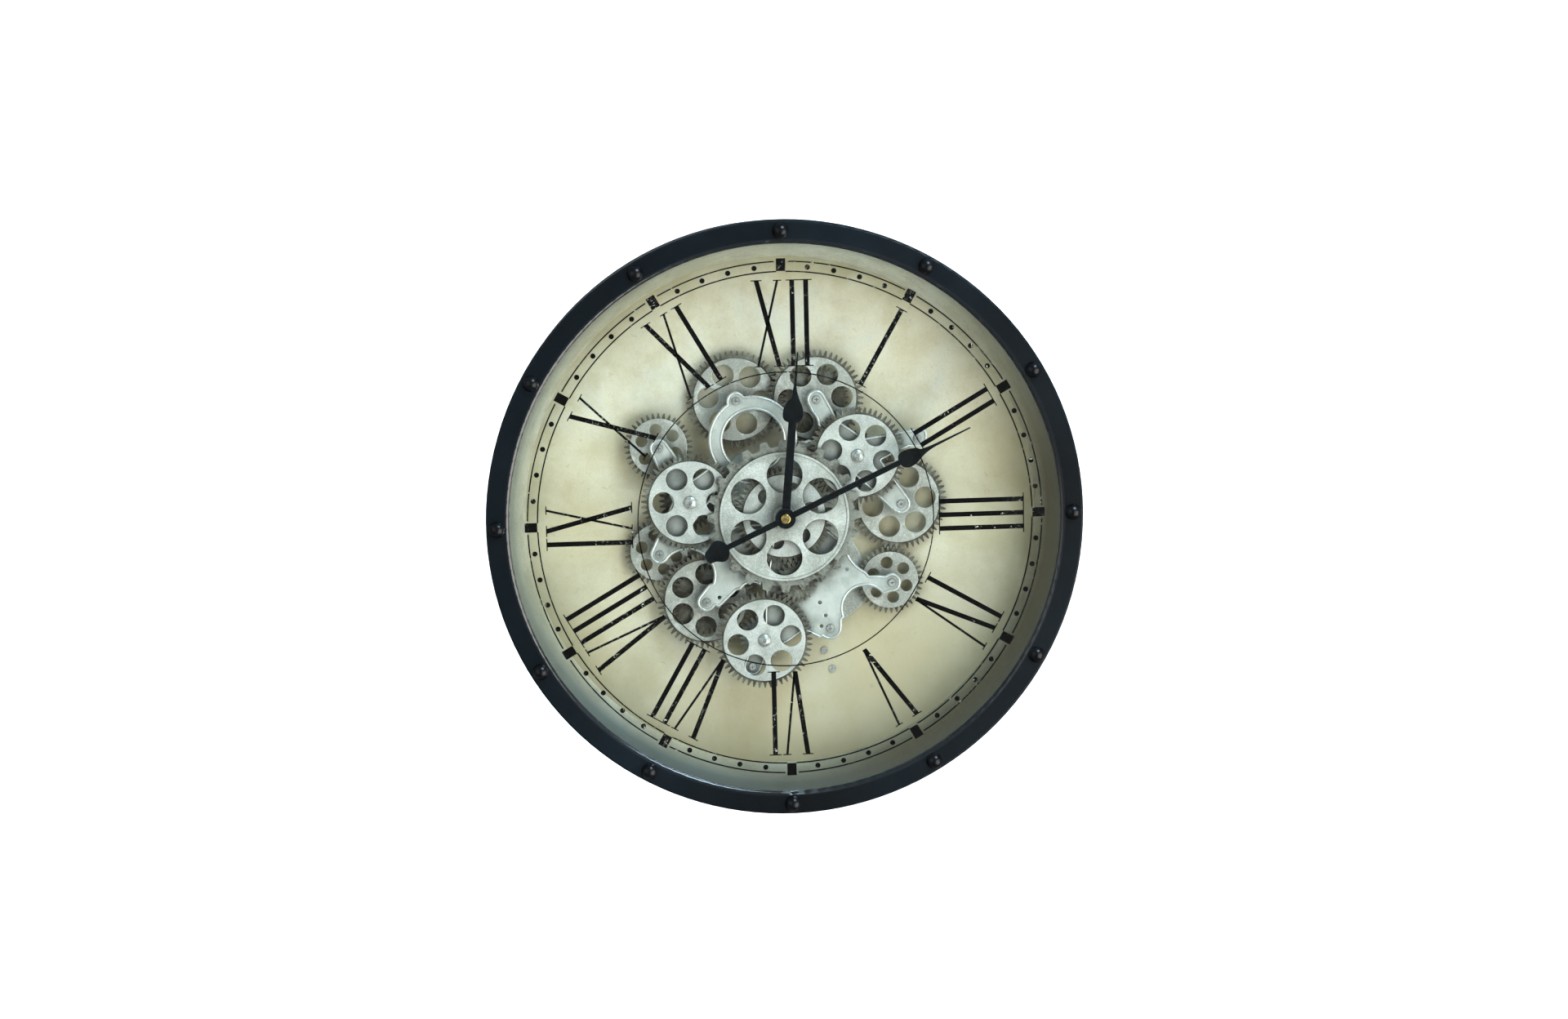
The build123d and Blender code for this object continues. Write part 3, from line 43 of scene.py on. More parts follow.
# ---------------------------------------------------------------- places taken from the frame
glass_low, glass_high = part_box("glass")
board_low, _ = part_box("dial_board")
AXIS = (glass_low + glass_high) / 2
DIAL_X = AXIS.x
DIAL_Z = AXIS.z
GLASS_REAR_Y = glass_high.y
DIAL_FACE_Y = board_low.y
DIAL_AXIS = (DIAL_X, 0, DIAL_Z)
BEZEL_LIP_RADIUS = (glass_high.x - glass_low.x) / 2 - 4.5 * MM

# Print on the rear of the glass (mm from the dial axis)
PRINT_THICKNESS = 0.22 * MM
PRINT_GAP = 0.04 * MM
TRACK_OUTER = 198.3
TRACK_INNER = 190.7
TRACK_LINE = 1.05
MINUTE_DOT_RADIUS = 2.0
MINUTE_DOT_RING = 194.5
DOT_CORNERS = 20
HOUR_BLOCK_WIDTH = 7.2
HOUR_BLOCK_INNER = 191.0
HOUR_BLOCK_OUTER = 200.6
HOUR_BLOCK_GAP = 1.6
RING_RADIUS = 114.0
RING_LINE = 0.9
NUMERAL_FOOT = 118.5
NUMERAL_HEAD = 184.0
THICK_STROKE = 3.7
THIN_STROKE = 1.8
HAIRLINE = 0.8


# ---------------------------------------------------------------- shading helpers
def srgb(code):
    """A linear colour from a six-digit screen colour."""
    parts = [int(code[i:i + 2], 16) / 255 for i in (0, 2, 4)]
    return [c / 12.92 if c <= 0.04045 else ((c + 0.055) / 1.055) ** 2.4 for c in parts] + [1.0]


class Look:
    """A material with one Principled shader, and short ways to add the nodes that feed it."""

    def __init__(self, name, colour, roughness=0.5, metallic=0.0, **sockets):
        self.material = bpy.data.materials.new(name)
        self.material.use_nodes = True
        self.tree = self.material.node_tree
        self.tree.nodes.clear()
        self.output = self.tree.nodes.new("ShaderNodeOutputMaterial")
        self.shader = self.tree.nodes.new("ShaderNodeBsdfPrincipled")
        self.join(self.shader.outputs[0], self.output.inputs["Surface"])
        self.set("Base Color", srgb(colour) if isinstance(colour, str) else colour)
        self.set("Roughness", roughness)
        self.set("Metallic", metallic)
        for socket, value in sockets.items():
            self.set(socket.replace("_", " "), value)
        self.place = self.tree.nodes.new("ShaderNodeTexCoord").outputs["Object"]

    def join(self, start, end):
        self.tree.links.new(start, end)

    def set(self, socket, value):
        """Sets a socket of the shader to a value, or joins it to another socket."""
        if isinstance(value, bpy.types.NodeSocket):
            self.join(value, self.shader.inputs[socket])
        else:
            self.shader.inputs[socket].default_value = value

    def feed(self, socket, value):
        if isinstance(value, bpy.types.NodeSocket):
            self.join(value, socket)
        else:
            socket.default_value = value

    def moved(self, scale=(1, 1, 1), turn=(0, 0, 0)):
        """The object's coordinates, turned and scaled."""
        node = self.tree.nodes.new("ShaderNodeMapping")
        node.inputs["Rotation"].default_value = turn
        node.inputs["Scale"].default_value = scale
        self.join(self.place, node.inputs["Vector"])
        return node.outputs[0]

    def noise(self, scale, detail=4.0, roughness=0.55, where=None, distortion=0.0):
        node = self.tree.nodes.new("ShaderNodeTexNoise")
        node.inputs["Scale"].default_value = scale
        node.inputs["Detail"].default_value = detail
        node.inputs["Roughness"].default_value = roughness
        node.inputs["Distortion"].default_value = distortion
        self.join(where or self.place, node.inputs["Vector"])
        return node.outputs[0]

    def ramp(self, value, *stops):
        """A map from a value to a grey level or a colour, by (position, level or colour) stops."""
        node = self.tree.nodes.new("ShaderNodeValToRGB")
        self.feed(node.inputs[0], value)
        band = node.color_ramp
        while len(band.elements) < len(stops):
            band.elements.new(0.5)
        for element, (position, level) in zip(band.elements, stops):
            element.position = position
            if isinstance(level, str):
                element.color = srgb(level)
            else:
                element.color = (level, level, level, 1)
        return node.outputs[0]

    def mix(self, share, first, second):
        node = self.tree.nodes.new("ShaderNodeMix")
        node.data_type = "RGBA"
        self.feed(node.inputs[0], share)
        for socket, value in ((node.inputs[6], first), (node.inputs[7], second)):
            self.feed(socket, srgb(value) if isinstance(value, str) else value)
        return node.outputs[2]

    def math(self, operation, first, second=0.0):
        node = self.tree.nodes.new("ShaderNodeMath")
        node.operation = operation
        self.feed(node.inputs[0], first)
        self.feed(node.inputs[1], second)
        return node.outputs[0]

    def axis_parts(self, centre):
        """Distances across, along and up from a point."""
        node = self.tree.nodes.new("ShaderNodeVectorMath")
        node.operation = "SUBTRACT"
        self.join(self.place, node.inputs[0])
        node.inputs[1].default_value = centre
        split = self.tree.nodes.new("ShaderNodeSeparateXYZ")
        self.join(node.outputs[0], split.inputs[0])
        return split.outputs[0], split.outputs[1], split.outputs[2]

    def distance_from_axis(self, centre):
        across, _, up = self.axis_parts(centre)
        squares = self.math("ADD", self.math("POWER", across, 2.0), self.math("POWER", up, 2.0))
        return self.math("SQRT", squares)

    def bump(self, height, distance, strength=1.0, rounding=0.0):
        """Relief from a height, on top of edges that look rounded by a radius."""
        node = self.tree.nodes.new("ShaderNodeBump")
        node.inputs["Strength"].default_value = strength
        node.inputs["Distance"].default_value = distance
        self.join(height, node.inputs["Height"])
        self.join(node.outputs[0], self.shader.inputs["Normal"])
        if rounding:
            bevel = self.tree.nodes.new("ShaderNodeBevel")
            bevel.inputs["Radius"].default_value = rounding
            self.join(bevel.outputs[0], node.inputs["Normal"])

    def corners(self, reach, open_share=0.9, tight_share=0.35):
        """High in tight corners and under overhangs, where shade falls; a mask for painted shade."""
        node = self.tree.nodes.new("ShaderNodeAmbientOcclusion")
        node.samples = 8
        node.inputs["Distance"].default_value = reach
        return self.ramp(node.outputs["AO"], (tight_share, 1.0), (open_share, 0.0))

    def edge_wear(self, radius, low=0.02, high=0.3):
        """High on sharp outer edges, from the difference between the plain and the rounded normal."""
        bevel = self.tree.nodes.new("ShaderNodeBevel")
        bevel.inputs["Radius"].default_value = radius
        geometry = self.tree.nodes.new("ShaderNodeNewGeometry")
        dot = self.tree.nodes.new("ShaderNodeVectorMath")
        dot.operation = "DOT_PRODUCT"
        self.join(bevel.outputs[0], dot.inputs[0])
        self.join(geometry.outputs["Normal"], dot.inputs[1])
        lean = self.math("SUBTRACT", 1.0, dot.outputs["Value"])
        return self.ramp(lean, (low, 0.0), (high, 1.0))


def paint(node, look):
    """Gives a CAD node one material on all its faces."""
    mesh = NODES[node].data
    mesh.materials.clear()
    mesh.materials.append(look.material)


# ---------------------------------------------------------------- materials
def painted_case():
    """Blue-black satin paint, mottled, glossier on the bezel's inner lip, rubbed brown on the edges."""
    look = Look("case_black", "0a0f14", roughness=0.44, Specular_IOR_Level=0.08)
    mottle = look.noise(9.0, 5.0)
    wear = look.edge_wear(0.0011)
    rub = look.math("MULTIPLY", wear, look.ramp(look.noise(55.0, 6.0), (0.45, 0.0), (0.62, 1.0)))
    base = look.ramp(mottle, (0.3, "060a0d"), (0.55, "0a1115"), (0.8, "10191f"))
    dust = look.ramp(look.noise(340.0, 6.0, 0.7), (0.6, 0.0), (0.8, 0.12))
    base = look.mix(dust, base, "2c343a")
    look.set("Base Color", look.mix(look.math("MULTIPLY", rub, 0.8), base, "3f2d25"))
    look.set("Roughness", look.ramp(look.noise(38.0, 5.0), (0.3, 0.34), (0.75, 0.48)))
    reach = look.math("SUBTRACT", look.distance_from_axis(DIAL_AXIS), BEZEL_LIP_RADIUS)
    look.set("Coat Weight", look.ramp(look.math("MULTIPLY", reach, 250.0), (0.45, 0.7), (0.8, 0.05)))
    look.set("Coat Roughness", 0.14)
    look.set("Coat IOR", 1.7)
    look.bump(look.mix(0.5, look.noise(30.0, 3.0), look.noise(420.0, 3.0)), 0.00018, 0.35)
    return look


def painted_bolt():
    """Glossy black enamel, lumpy where it dried, and rubbed brown on the rims of the heads."""
    look = Look("bolt_black", "080a0c", roughness=0.26, Specular_IOR_Level=0.2)
    base = look.ramp(look.noise(160.0, 4.0), (0.35, "030406"), (0.75, "090c10"))
    patches = look.ramp(look.noise(260.0, 5.0), (0.5, 0.0), (0.6, 0.4))
    rub = look.math("MULTIPLY", look.edge_wear(0.0006), patches)
    look.set("Base Color", look.mix(rub, base, "2b2521"))
    look.bump(look.noise(300.0, 3.0), 0.0003, 0.6)
    return look


def clear_glass():
    """Clear pane with a weak, smeared reflection."""
    look = Look("glass_pane", "ffffff", roughness=0.02)
    tree = look.tree
    tree.nodes.remove(look.shader)
    clear = tree.nodes.new("ShaderNodeBsdfTransparent")
    clear.inputs[0].default_value = (0.975, 0.99, 0.982, 1)
    gloss = tree.nodes.new("ShaderNodeBsdfGlossy")
    gloss.inputs["Color"].default_value = (1, 1, 1, 1)
    gloss.inputs["Roughness"].default_value = 0.03
    fresnel = tree.nodes.new("ShaderNodeFresnel")
    fresnel.inputs["IOR"].default_value = 1.3
    streaks = look.noise(5.0, 4.0, 0.6, where=look.moved(scale=(1.0, 1.0, 0.25)))
    smears = look.ramp(streaks, (0.35, 0.3), (0.7, 0.6))
    blend = tree.nodes.new("ShaderNodeMixShader")
    look.join(look.math("MULTIPLY", fresnel.outputs[0], smears), blend.inputs[0])
    look.join(clear.outputs[0], blend.inputs[1])
    look.join(gloss.outputs[0], blend.inputs[2])
    look.join(blend.outputs[0], look.output.inputs["Surface"])
    return look


def aged_dial():
    """Cream print with blotches, grain and a grey edge, with painted shade: darker and browner towards the
    lower right, and darker around the wheels and in corners.
    """
    look = Look("dial_cream", "d3d2b6", roughness=0.8, Specular_IOR_Level=0.25)
    broad = look.noise(7.0, 5.0, 0.6, distortion=0.4)
    patches = look.noise(26.0, 6.0, 0.65)
    grain = look.noise(900.0, 3.0, 0.7)
    cream = look.ramp(broad, (0.36, "d2c6a4"), (0.45, "dbd2b6"), (0.54, "e2dcc5"), (0.63, "d9d7c8"))
    stain = look.ramp(patches, (0.46, 0.0), (0.64, 0.5))
    cream = look.mix(stain, cream, "c2b48c")
    cream = look.mix(look.ramp(grain, (0.35, 0.16), (0.6, 0.0)), cream, "9c946f")
    spots = look.ramp(look.noise(170.0, 5.0, 0.6), (0.62, 0.0), (0.72, 0.34))
    cream = look.mix(spots, cream, "8f8460")
    reach = look.distance_from_axis(DIAL_AXIS)
    wobble = look.math("MULTIPLY", patches, 0.03)
    edge = look.ramp(look.math("ADD", reach, wobble), (0.18, 0.0), (0.2, 0.22), (0.214, 0.55))
    cream = look.mix(edge, cream, "a39c7e")
    # Painted shade: darker and browner towards the bottom and the lower right.
    across, _, up = look.axis_parts(DIAL_AXIS)
    shade_slope = look.math("ADD", look.math("MULTIPLY", across, 1.8), look.math("MULTIPLY", up, -4.2))
    low = look.ramp(shade_slope, (0.0, 0.0), (0.85, 0.62))
    cream = look.mix(low, cream, "a89f83")
    # Painted shade: darker in corners and around the wheels, broken up by the patch noise.
    grime_and_shade = look.math("MULTIPLY", look.corners(0.03, 0.95, 0.3), look.ramp(patches, (0.3, 0.5), (0.6, 0.85)))
    look.set("Base Color", look.mix(grime_and_shade, cream, "8a8266"))
    look.set("Roughness", look.ramp(grain, (0.3, 0.7), (0.8, 0.88)))
    look.bump(look.mix(0.4, grain, patches), 0.00008, 0.5)
    return look


def aged_rim():
    """Cream cone around the dial, with painted shade by place: greyer on the left, blue-grey at the foot,
    dark brown on the right, and darker near the glass.
    """
    look = Look("rim_cream", "c2bfa4", roughness=0.6, Specular_IOR_Level=0.3)
    broad = look.noise(11.0, 5.0, 0.6)
    grain = look.noise(700.0, 3.0, 0.7)
    cream = look.ramp(broad, (0.38, "b9b49b"), (0.5, "cac6b0"), (0.62, "cdccbc"))
    cream = look.mix(look.ramp(look.noise(48.0, 6.0, 0.7), (0.45, 0.0), (0.65, 0.45)), cream, "958b70")
    across, along, up = look.axis_parts((DIAL_X, (DIAL_FACE_Y + GLASS_REAR_Y) / 2, DIAL_Z))
    depth = look.math("ADD", look.math("MULTIPLY", along, -20.0), 0.5)
    # Painted shade by place: greyer on the left and blue-grey at the foot, both towards the glass; dark
    # brown towards the lower right, strongest from the middle of the cone to the glass.
    left = look.ramp(look.math("MULTIPLY", across, -5.0), (0.0, 0.2), (0.95, 0.75))
    foot = look.ramp(look.math("MULTIPLY", up, -5.0), (0.1, 0.0), (0.8, 0.95))
    shade_slope = look.math("ADD", look.math("MULTIPLY", across, 4.0), look.math("MULTIPLY", up, -2.0))
    right = look.ramp(shade_slope, (0.05, 0.0), (0.75, 0.95))
    front = look.ramp(depth, (0.05, 0.0), (0.7, 1.0))
    cream = look.mix(look.math("MULTIPLY", left, front), cream, "7f8479")
    cream = look.mix(look.math("MULTIPLY", foot, front), cream, "576669")
    deeper = look.ramp(depth, (0.0, 0.45), (0.5, 1.0))
    cream = look.mix(look.math("MULTIPLY", right, deeper), cream, "554f41")
    mottle = look.ramp(grain, (0.35, 0.35), (0.55, 0.0))
    cream = look.mix(mottle, cream, "6f6c5d")
    # Painted shade: darker towards the glass, under the bezel's lip.
    look.set("Base Color", look.mix(look.ramp(depth, (0.6, 0.0), (1.0, 0.5)), cream, "434b4c"))
    look.bump(look.mix(0.5, grain, broad), 0.00012, 0.5)
    return look


def silver_face(name, tint="c4c7c0"):
    """Satin silver paint on the pierced plates: cloudy, a little worn, with bright rubbed edges and painted
    shade in corners and under overhangs.
    """
    look = Look(name, tint, roughness=0.46, metallic=0.25, Specular_IOR_Level=0.4)
    cloud = look.noise(60.0, 6.0, 0.65)
    speck = look.noise(1100.0, 2.0, 0.6)
    base = look.ramp(cloud, (0.36, "a7a9a0"), (0.5, tint), (0.64, "d8dad3"))
    base = look.mix(look.ramp(look.noise(190.0, 6.0, 0.7), (0.56, 0.0), (0.72, 0.42)), base, "8b8a7d")
    grain = look.noise(900.0, 6.0, 0.8)
    base = look.mix(look.ramp(grain, (0.42, 0.35), (0.52, 0.0)), base, "8f938c")
    base = look.mix(look.ramp(grain, (0.52, 0.0), (0.62, 0.5)), base, "f0f3f0")
    base = look.mix(look.edge_wear(0.0006), base, "eef1ee")
    base = look.mix(look.ramp(speck, (0.3, 0.25), (0.45, 0.0)), base, "77776c")
    # Painted shade: darker in corners and under overhangs.
    grime_and_shade = look.math("MULTIPLY", look.corners(0.016, 0.95, 0.45), 0.8)
    look.set("Base Color", look.mix(grime_and_shade, base, "45423a"))
    look.set("Roughness", look.ramp(cloud, (0.3, 0.5), (0.7, 0.36)))
    look.bump(look.mix(0.5, speck, cloud), 0.00009, 0.5, rounding=0.0006)
    return look


def dark_teeth(name, tint="5f5c4f"):
    """The toothed sheets behind the faces: grimy in patches, with rubbed tooth edges; their darker tone is
    partly painted shade between the wheels, with more painted shade in corners.
    """
    look = Look(name, tint, roughness=0.55, metallic=0.3, Specular_IOR_Level=0.3)
    grime_and_shade = look.noise(75.0, 7.0, 0.7, distortion=0.5)
    base = look.ramp(grime_and_shade, (0.38, "3f3a2f"), (0.5, tint), (0.64, "84867c"))
    base = look.mix(look.ramp(look.noise(420.0, 5.0, 0.7), (0.5, 0.0), (0.68, 0.6)), base, "423d32")
    base = look.mix(look.math("MULTIPLY", look.edge_wear(0.00045), 0.35), base, "c5c8c0")
    # Painted shade: darker in corners and under the faces.
    look.set("Base Color", look.mix(look.math("MULTIPLY", look.corners(0.01), 0.8), base, "2b2820"))
    look.set("Roughness", look.ramp(grime_and_shade, (0.3, 0.6), (0.7, 0.42)))
    look.bump(look.noise(800.0, 4.0, 0.7), 0.0001, 0.5)
    return look


def bridge_metal():
    """Brushed silver plate with polished edges, dull spots and painted shade in corners."""
    look = Look("bridge_silver", "b9c0bb", roughness=0.4, metallic=0.3, Specular_IOR_Level=0.45)
    brushed = look.noise(240.0, 4.0, 0.6, where=look.moved(scale=(0.12, 1, 1), turn=(0, radians(24), 0)))
    cloud = look.noise(42.0, 5.0, 0.6)
    base = look.ramp(cloud, (0.36, "a6aba4"), (0.5, "c0c5be"), (0.64, "d3d7d0"))
    base = look.mix(look.ramp(look.noise(230.0, 6.0, 0.7), (0.6, 0.0), (0.75, 0.5)), base, "7f8078")
    base = look.mix(look.edge_wear(0.0012, 0.01, 0.2), base, "f3f5f3")
    # Painted shade: darker in corners and under the wheels that overhang the plate.
    grime_and_shade = look.math("MULTIPLY", look.corners(0.016, 0.95, 0.45), 0.85)
    look.set("Base Color", look.mix(grime_and_shade, base, "403d35"))
    look.set("Roughness", look.ramp(brushed, (0.3, 0.3), (0.7, 0.46)))
    look.bump(brushed, 0.00006, 0.45, rounding=0.0014)
    return look


def polished_edge():
    """The buffed border of a bridge: bright on top, with dull spots and painted shade along its foot."""
    look = Look("polished_edge", "dde2df", roughness=0.28, metallic=0.55)
    cloud = look.noise(70.0, 5.0, 0.6)
    base = look.ramp(cloud, (0.3, "bcc3be"), (0.6, "e2e7e4"))
    base = look.mix(look.ramp(look.noise(300.0, 5.0, 0.7), (0.6, 0.0), (0.72, 0.4)), base, "8a8c84")
    # Painted shade along the foot of the border.
    base = look.mix(look.corners(0.0022, 0.85, 0.45), base, "24231e")
    look.set("Base Color", base)
    look.set("Roughness", look.ramp(cloud, (0.3, 0.36), (0.7, 0.22)))
    look.bump(cloud, 0.00003, 0.3)
    return look


def turned_steel(name, tint, roughness):
    """Turned metal with fine rings, bright edges and painted shade in the corners."""
    look = Look(name, tint, roughness=roughness, metallic=0.6)
    rings = look.noise(500.0, 3.0, 0.6, where=look.moved(scale=(1, 0.1, 1)))
    base = look.ramp(rings, (0.3, "8d908b"), (0.7, tint))
    base = look.mix(look.edge_wear(0.0004), base, "eceeec")
    # Painted shade: darker in the corners.
    look.set("Base Color", look.mix(look.math("MULTIPLY", look.corners(0.003), 0.9), base, "35322b"))
    look.set("Roughness", look.ramp(rings, (0.3, roughness - 0.08), (0.7, roughness + 0.12)))
    look.bump(rings, 0.00004, 0.4)
    return look


def brass():
    """Warm polished brass, a little uneven."""
    tint = "e2c67e"
    look = Look("brass", tint, roughness=0.26, metallic=1.0)
    cloud = look.noise(500.0, 4.0, 0.6)
    base = look.ramp(cloud, (0.3, "c4a35c"), (0.7, tint))
    look.set("Base Color", look.mix(look.edge_wear(0.0005), base, "fdf3cc"))
    look.set("Roughness", look.ramp(cloud, (0.3, 0.2), (0.7, 0.36)))
    look.bump(cloud, 0.00003, 0.4)
    return look


def hand_paint():
    """Matt black paint with faintly rubbed edges."""
    look = Look("hand_black", "0a0d10", roughness=0.48, Specular_IOR_Level=0.09)
    cloud = look.noise(110.0, 5.0, 0.6)
    base = look.ramp(cloud, (0.3, "06080a"), (0.7, "0e1316"))
    look.set("Base Color", look.mix(look.math("MULTIPLY", look.edge_wear(0.0005), 0.4), base, "6e7a80"))
    look.set("Roughness", look.ramp(look.noise(600.0, 3.0), (0.3, 0.36), (0.7, 0.52)))
    look.bump(look.noise(900.0, 3.0), 0.00004, 0.5)
    return look


def moulded(name, tint, roughness=0.5):
    """Moulded plastic with a fine spark-eroded grain."""
    look = Look(name, tint, roughness=roughness)
    grain = look.noise(2200.0, 3.0, 0.6)
    shade = look.noise(18.0, 3.0)
    look.set("Base Color", look.mix(look.ramp(shade, (0.3, 0.0), (0.75, 0.12)), tint, "8e9092"))
    look.set("Roughness", look.ramp(grain, (0.3, roughness - 0.06), (0.7, roughness + 0.12)))
    look.bump(grain, 0.00005, 0.6)
    return look


def black_fibreboard():
    """Black fibreboard with visible fibres and scuffs."""
    look = Look("back_fibreboard", "191817", roughness=0.85)
    fibre = look.noise(320.0, 6.0, 0.75, where=look.moved(scale=(1, 1, 2.6)))
    broad = look.noise(8.0, 4.0)
    base = look.ramp(fibre, (0.3, "0f0e0d"), (0.55, "1c1b19"), (0.78, "33302b"))
    scuff = look.ramp(look.noise(24.0, 7.0, 0.7), (0.58, 0.0), (0.75, 0.35))
    look.set("Base Color", look.mix(scuff, base, "57524a"))
    look.set("Roughness", look.ramp(broad, (0.3, 0.74), (0.8, 0.92)))
    look.bump(fibre, 0.00016, 0.7)
    return look


def cell_wrap():
    """Dark sleeve with one copper band at the positive end of each cell."""
    look = Look("cell_wrap", "1c1e22", roughness=0.3)
    _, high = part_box("batteries")
    across, _, _ = look.axis_parts((0, 0, 0))
    scuffs = look.noise(260.0, 5.0, 0.7)
    base = look.ramp(scuffs, (0.4, "17191d"), (0.7, "2a2d33"))
    band = look.math("GREATER_THAN", across, high.x - 14 * MM)
    past = look.math("GREATER_THAN", across, 11 * MM)
    short = look.math("LESS_THAN", across, 30 * MM)
    small = look.math("MULTIPLY", past, short)
    look.set("Base Color", look.mix(look.math("MAXIMUM", band, small), base, "b3703a"))
    look.set("Coat Weight", 0.6)
    look.set("Coat Roughness", 0.1)
    look.bump(scuffs, 0.00003, 0.4)
    return look


def printed_black():
    """Black print on glass, chipped in places so that pale specks show."""
    look = Look("print_black", "0a0807", roughness=0.7, Specular_IOR_Level=0.05)
    chips = look.noise(420.0, 5.0, 0.7, distortion=1.2)
    regions = look.noise(26.0, 3.0, 0.5)
    spots = look.ramp(chips, (0.61, 0.0), (0.63, 1.0))
    flake = look.math("MULTIPLY", spots, look.ramp(regions, (0.5, 0.0), (0.54, 1.0)))
    tone = look.ramp(look.noise(60.0, 4.0), (0.3, "030303"), (0.75, "0b0707"))
    look.set("Base Color", look.mix(flake, tone, "dedbcb"))
    return look


def gasket_rubber():
    """Dull black rubber."""
    look = Look("gasket_rubber", "15171a", roughness=0.7)
    grain = look.noise(1500.0, 3.0)
    look.set("Base Color", look.ramp(grain, (0.3, "101215"), (0.7, "22252a")))
    look.bump(grain, 0.00005, 0.6)
    return look


CASE = painted_case()
BOLT = painted_bolt()
FACE = silver_face("face_silver")
CENTRE_FACE = silver_face("centre_face_silver", "bbbeb5")
# A darker copy of the face silver for the deeper wheels: painted shade at the back of the train.
SHADED_REAR_FACE = silver_face("rear_face_shaded_silver", "a9a89c")
TEETH = dark_teeth("teeth_dark")
COARSE = dark_teeth("coarse_teeth", "8f9087")
BRIDGE = bridge_metal()
STEEL = turned_steel("steel", "ccd0cc", 0.36)
DULL_STEEL = turned_steel("dull_steel", "9fa29c", 0.42)
BRASS = brass()
HAND = hand_paint()
PRINT = printed_black()

paints = {
    "case_drum": CASE, "bezel_ring": CASE, "bezel_bolts": BOLT, "glass": clear_glass(),
    "glass_gasket": gasket_rubber(), "inner_rim": aged_rim(), "dial_board": aged_dial(),
    "case_screws": STEEL, "back_cover": black_fibreboard(),
    "hanger_plate": turned_steel("hanger_steel", "a8aaa6", 0.38),
    # base_silver is a darker copy of the face silver, partly painted shade behind the wheels.
    "base_plate": silver_face("base_silver", "b3b6ac"), "train_posts": DULL_STEEL, "train_screws": STEEL,
    "left_bridge": BRIDGE, "right_bridge": BRIDGE, "lower_bridge": BRIDGE, "centre_tube": DULL_STEEL,
    "left_arbor": TEETH, "right_arbor": TEETH, "lower_arbor": STEEL, "idler_gear": TEETH,
    "coarse_wheel": COARSE, "centre_disc": CENTRE_FACE,
    "movement_case": moulded("movement_black", "121315"),
    "movement_cover": moulded("movement_lid", "17181b", 0.42),
    "gear_motor": moulded("motor_grey", "8b8f8e", 0.4), "battery_box": moulded("box_black", "141416"),
    "batteries": cell_wrap(), "setting_knob": moulded("knob_white", "d8d8d2", 0.4),
    "motion_wheel": moulded("acetal", "e4e3da", 0.35), "minute_hand": HAND, "hour_hand": HAND,
    "hand_nut": BRASS, "minute_arbor": BRASS, "hour_pipe": BRASS,
}
# These deeper wheels take the darker, shaded copy of the face silver.
DEEP_WHEELS = (
    "upper_right", "upper_left", "far_right", "small_right", "lower_left", "small_upper", "small_left",
)
paints.update({wheel + "_disc": SHADED_REAR_FACE for wheel in DEEP_WHEELS})
for name in NODES:
    if name in paints:
        paint(name, paints[name])
    elif name.endswith("_disc"):
        paint(name, FACE)
    else:
        paint(name, TEETH)


# ---------------------------------------------------------------- mesh helpers
def add_piece(name, points, faces, look, smooth=False):
    """A new visual piece that stays with the case."""
    mesh = bpy.data.meshes.new(name)
    mesh.from_pydata(points, [], faces)
    mesh.validate()
    mesh.update()
    if smooth:
        mesh.shade_smooth()
    piece = bpy.data.objects.new(name, mesh)
    bpy.context.scene.collection.objects.link(piece)
    mesh.materials.append(look.material)
    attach(piece, "case")


def flat_piece(name, outlines, back_y, thickness, look):
    """A flat piece of one thickness from closed outlines of (across, up) mm from the dial axis."""
    points, faces = [], []
    for outline in outlines:
        start = len(points)
        count = len(outline)
        for y in (back_y, back_y - thickness):
            points += [(DIAL_X + x * MM, y, DIAL_Z + z * MM) for x, z in outline]
        faces.append([start + i for i in range(count)])
        faces.append([start + count + i for i in reversed(range(count))])
        for i in range(count):
            follow = (i + 1) % count
            faces.append([start + follow, start + i, start + count + i, start + count + follow])
    add_piece(name, points, faces, look)


def turned_point(x, z, clockwise):
    """A dial point after a clockwise turn in degrees."""
    turn = radians(clockwise)
    return (x * cos(turn) + z * sin(turn), z * cos(turn) - x * sin(turn))


def ring_outlines(radius, width, count=180):
    """Short trapezoids that make a thin ring, clockwise from the top."""
    outlines = []
    for i in range(count):
        first = 360.0 * i / count
        last = 360.0 * (i + 1) / count
        outlines.append([
            turned_point(0, radius - width / 2, first), turned_point(0, radius + width / 2, first),
            turned_point(0, radius + width / 2, last), turned_point(0, radius - width / 2, last),
        ])
    return outlines


def arc_outline(radius, width, start, end, step=1.5):
    """One closed outline of an arc, clockwise from the top."""
    count = max(2, round((end - start) / step))
    angles = [start + (end - start) * i / count for i in range(count + 1)]
    inner = [turned_point(0, radius - width / 2, a) for a in angles]
    outer = [turned_point(0, radius + width / 2, a) for a in angles]
    return inner + outer[::-1]


def stroke(x_foot, z_foot, x_head, z_head, width):
    """A straight stroke with level ends."""
    half = width / 2
    return [
        (x_foot - half, z_foot), (x_foot + half, z_foot),
        (x_head + half, z_head), (x_head - half, z_head),
    ]


def serif(x, z, length):
    return [(x - length / 2, z - HAIRLINE / 2), (x + length / 2, z - HAIRLINE / 2),
            (x + length / 2, z + HAIRLINE / 2), (x - length / 2, z + HAIRLINE / 2)]


# ---------------------------------------------------------------- polished borders of the bridges
BORDER_INSET = 1.15 * MM
BORDER_HALF = 0.8 * MM
BORDER_HEIGHT = 0.6 * MM
SHORTEST_BORDER = 60 * MM
BORDER_TURNS = [radians(30 * step) for step in range(7)]
BORDER_PROFILE = [
    (BORDER_INSET - BORDER_HALF * cos(turn), BORDER_HEIGHT * sin(turn)) for turn in BORDER_TURNS
]
BORDER = polished_edge()


